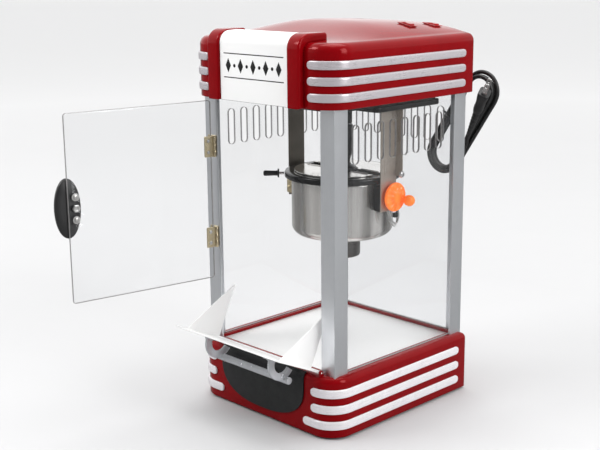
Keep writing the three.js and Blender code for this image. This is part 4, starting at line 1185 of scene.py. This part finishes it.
CORNERS = ("front_left", "front_right", "rear_left", "rear_right")
carry("aluminium", *(f"post_{corner}" for corner in CORNERS), bevel=0.7)
carry("pan", "bottom_pan")
carry("white", "cabinet_floor")
carry("black_sheet", "hood_pan", bevel=0.8)
carry("motor", "gear_motor", bevel=1)
carry("lens", "lamp_lens", bevel=0.5)
carry("foot", *(f"foot_{corner}" for corner in CORNERS), bevel=0.5)
carry("painted_shade_strap", "hanger_left", bevel=0.3)
carry("strap", "hanger_right", bevel=0.3)
carry("polished", "lid_front", "lid_rear", "stirrer", bevel=0.3)
carry("black_plastic", "drive_coupling", bevel=0.6)
carry("switch", "switch_bezel_1", "switch_bezel_2", "switch_rocker_1", "switch_rocker_2", bevel=0.35)


# ---- Studio ----

FAR_FLOOR, MIRRORED_FLOOR = (0.92, 0.92, 0.925, 1), (0.20, 0.20, 0.20, 1)
FLOOR_SIZE, FLOOR_LEVEL = 30, -0.0025          # metres


def floor_look():
    """A pale floor, paler far from the lamps, which keeps the background even.

    In mirrored light it stands darker, as if a dark card lay round the machine.
    """
    material = coated("studio_floor", (0.58, 0.58, 0.585), (0.57, 0.57, 0.575), (0.55, 0.7), (4, 0.02),
                      smudge=600)
    tree = material.node_tree
    base = tree.nodes["Principled BSDF"].inputs["Base Color"]
    near = base.links[0].from_socket
    place = add_node(tree, "TexCoord").outputs["Object"]
    reach = add_node(tree, "VectorMath", {0: place}, operation="LENGTH").outputs["Value"]
    far = add_node(tree, "MapRange", {"Value": reach, "From Min": 0.6, "From Max": 3.2}).outputs["Result"]
    seen = add_node(tree, "Mix", {0: far, 6: near, 7: FAR_FLOOR}, data_type="RGBA").outputs[2]
    mirrored = add_node(tree, "LightPath").outputs["Is Glossy Ray"]
    both = add_node(tree, "Mix", {0: mirrored, 6: seen, 7: MIRRORED_FLOOR}, data_type="RGBA")
    tree.links.new(both.outputs[2], base)
    return material


def make_floor():
    corners = ((-1, -1), (1, -1), (1, 1), (-1, 1))
    mesh = bpy.data.meshes.new("studio_floor")
    mesh.from_pydata([(x * FLOOR_SIZE, y * FLOOR_SIZE, FLOOR_LEVEL) for x, y in corners], [], [(0, 1, 2, 3)])
    mesh.materials.append(floor_look())
    floor = bpy.data.objects.new("studio_floor", mesh)
    bpy.context.scene.collection.objects.link(floor)


def make_world():
    """An even surround, brighter from the left rear."""
    world = bpy.data.worlds.new("studio")
    world.use_nodes = True
    bpy.context.scene.world = world
    tree = world.node_tree
    shade = tree.nodes["Background"]
    shade.inputs["Color"].default_value = (1.0, 1.0, 1.0, 1)
    place = add_node(tree, "TexCoord").outputs["Generated"]
    towards = add_node(tree, "VectorMath", {0: place, 1: (-0.70, 0.70, 0.25)}, operation="DOT_PRODUCT")
    ramp = add_node(tree, "MapRange", {"Value": towards.outputs["Value"], "From Min": -0.75,
                                       "From Max": 0.3, "To Min": 0.20, "To Max": 1.12})
    tree.links.new(ramp.outputs["Result"], shade.inputs["Strength"])


def lamp(name, place, aim, width, height, power):
    data = bpy.data.lights.new(name, "AREA")
    data.shape = "RECTANGLE"
    data.size, data.size_y = width, height
    data.energy = power
    light = bpy.data.objects.new(name, data)
    light.location = place
    light.rotation_euler = (Vector(aim) - Vector(place)).to_track_quat("-Z", "Y").to_euler()
    bpy.context.scene.collection.objects.link(light)


def make_studio():
    make_floor()
    make_world()
    lamp("key_left", (-1.1, -1.6, 1.9), (0, 0, 0.25), 0.9, 0.9, 26)
    lamp("fill_right", (2.0, 0.2, 1.1), (0, 0, 0.25), 0.8, 1.4, 24)
    lamp("top", (0.0, 0.2, 2.2), (0, 0, 0.3), 1.4, 1.4, 22)
    bpy.context.scene.view_settings.view_transform = "Standard"


make_studio()
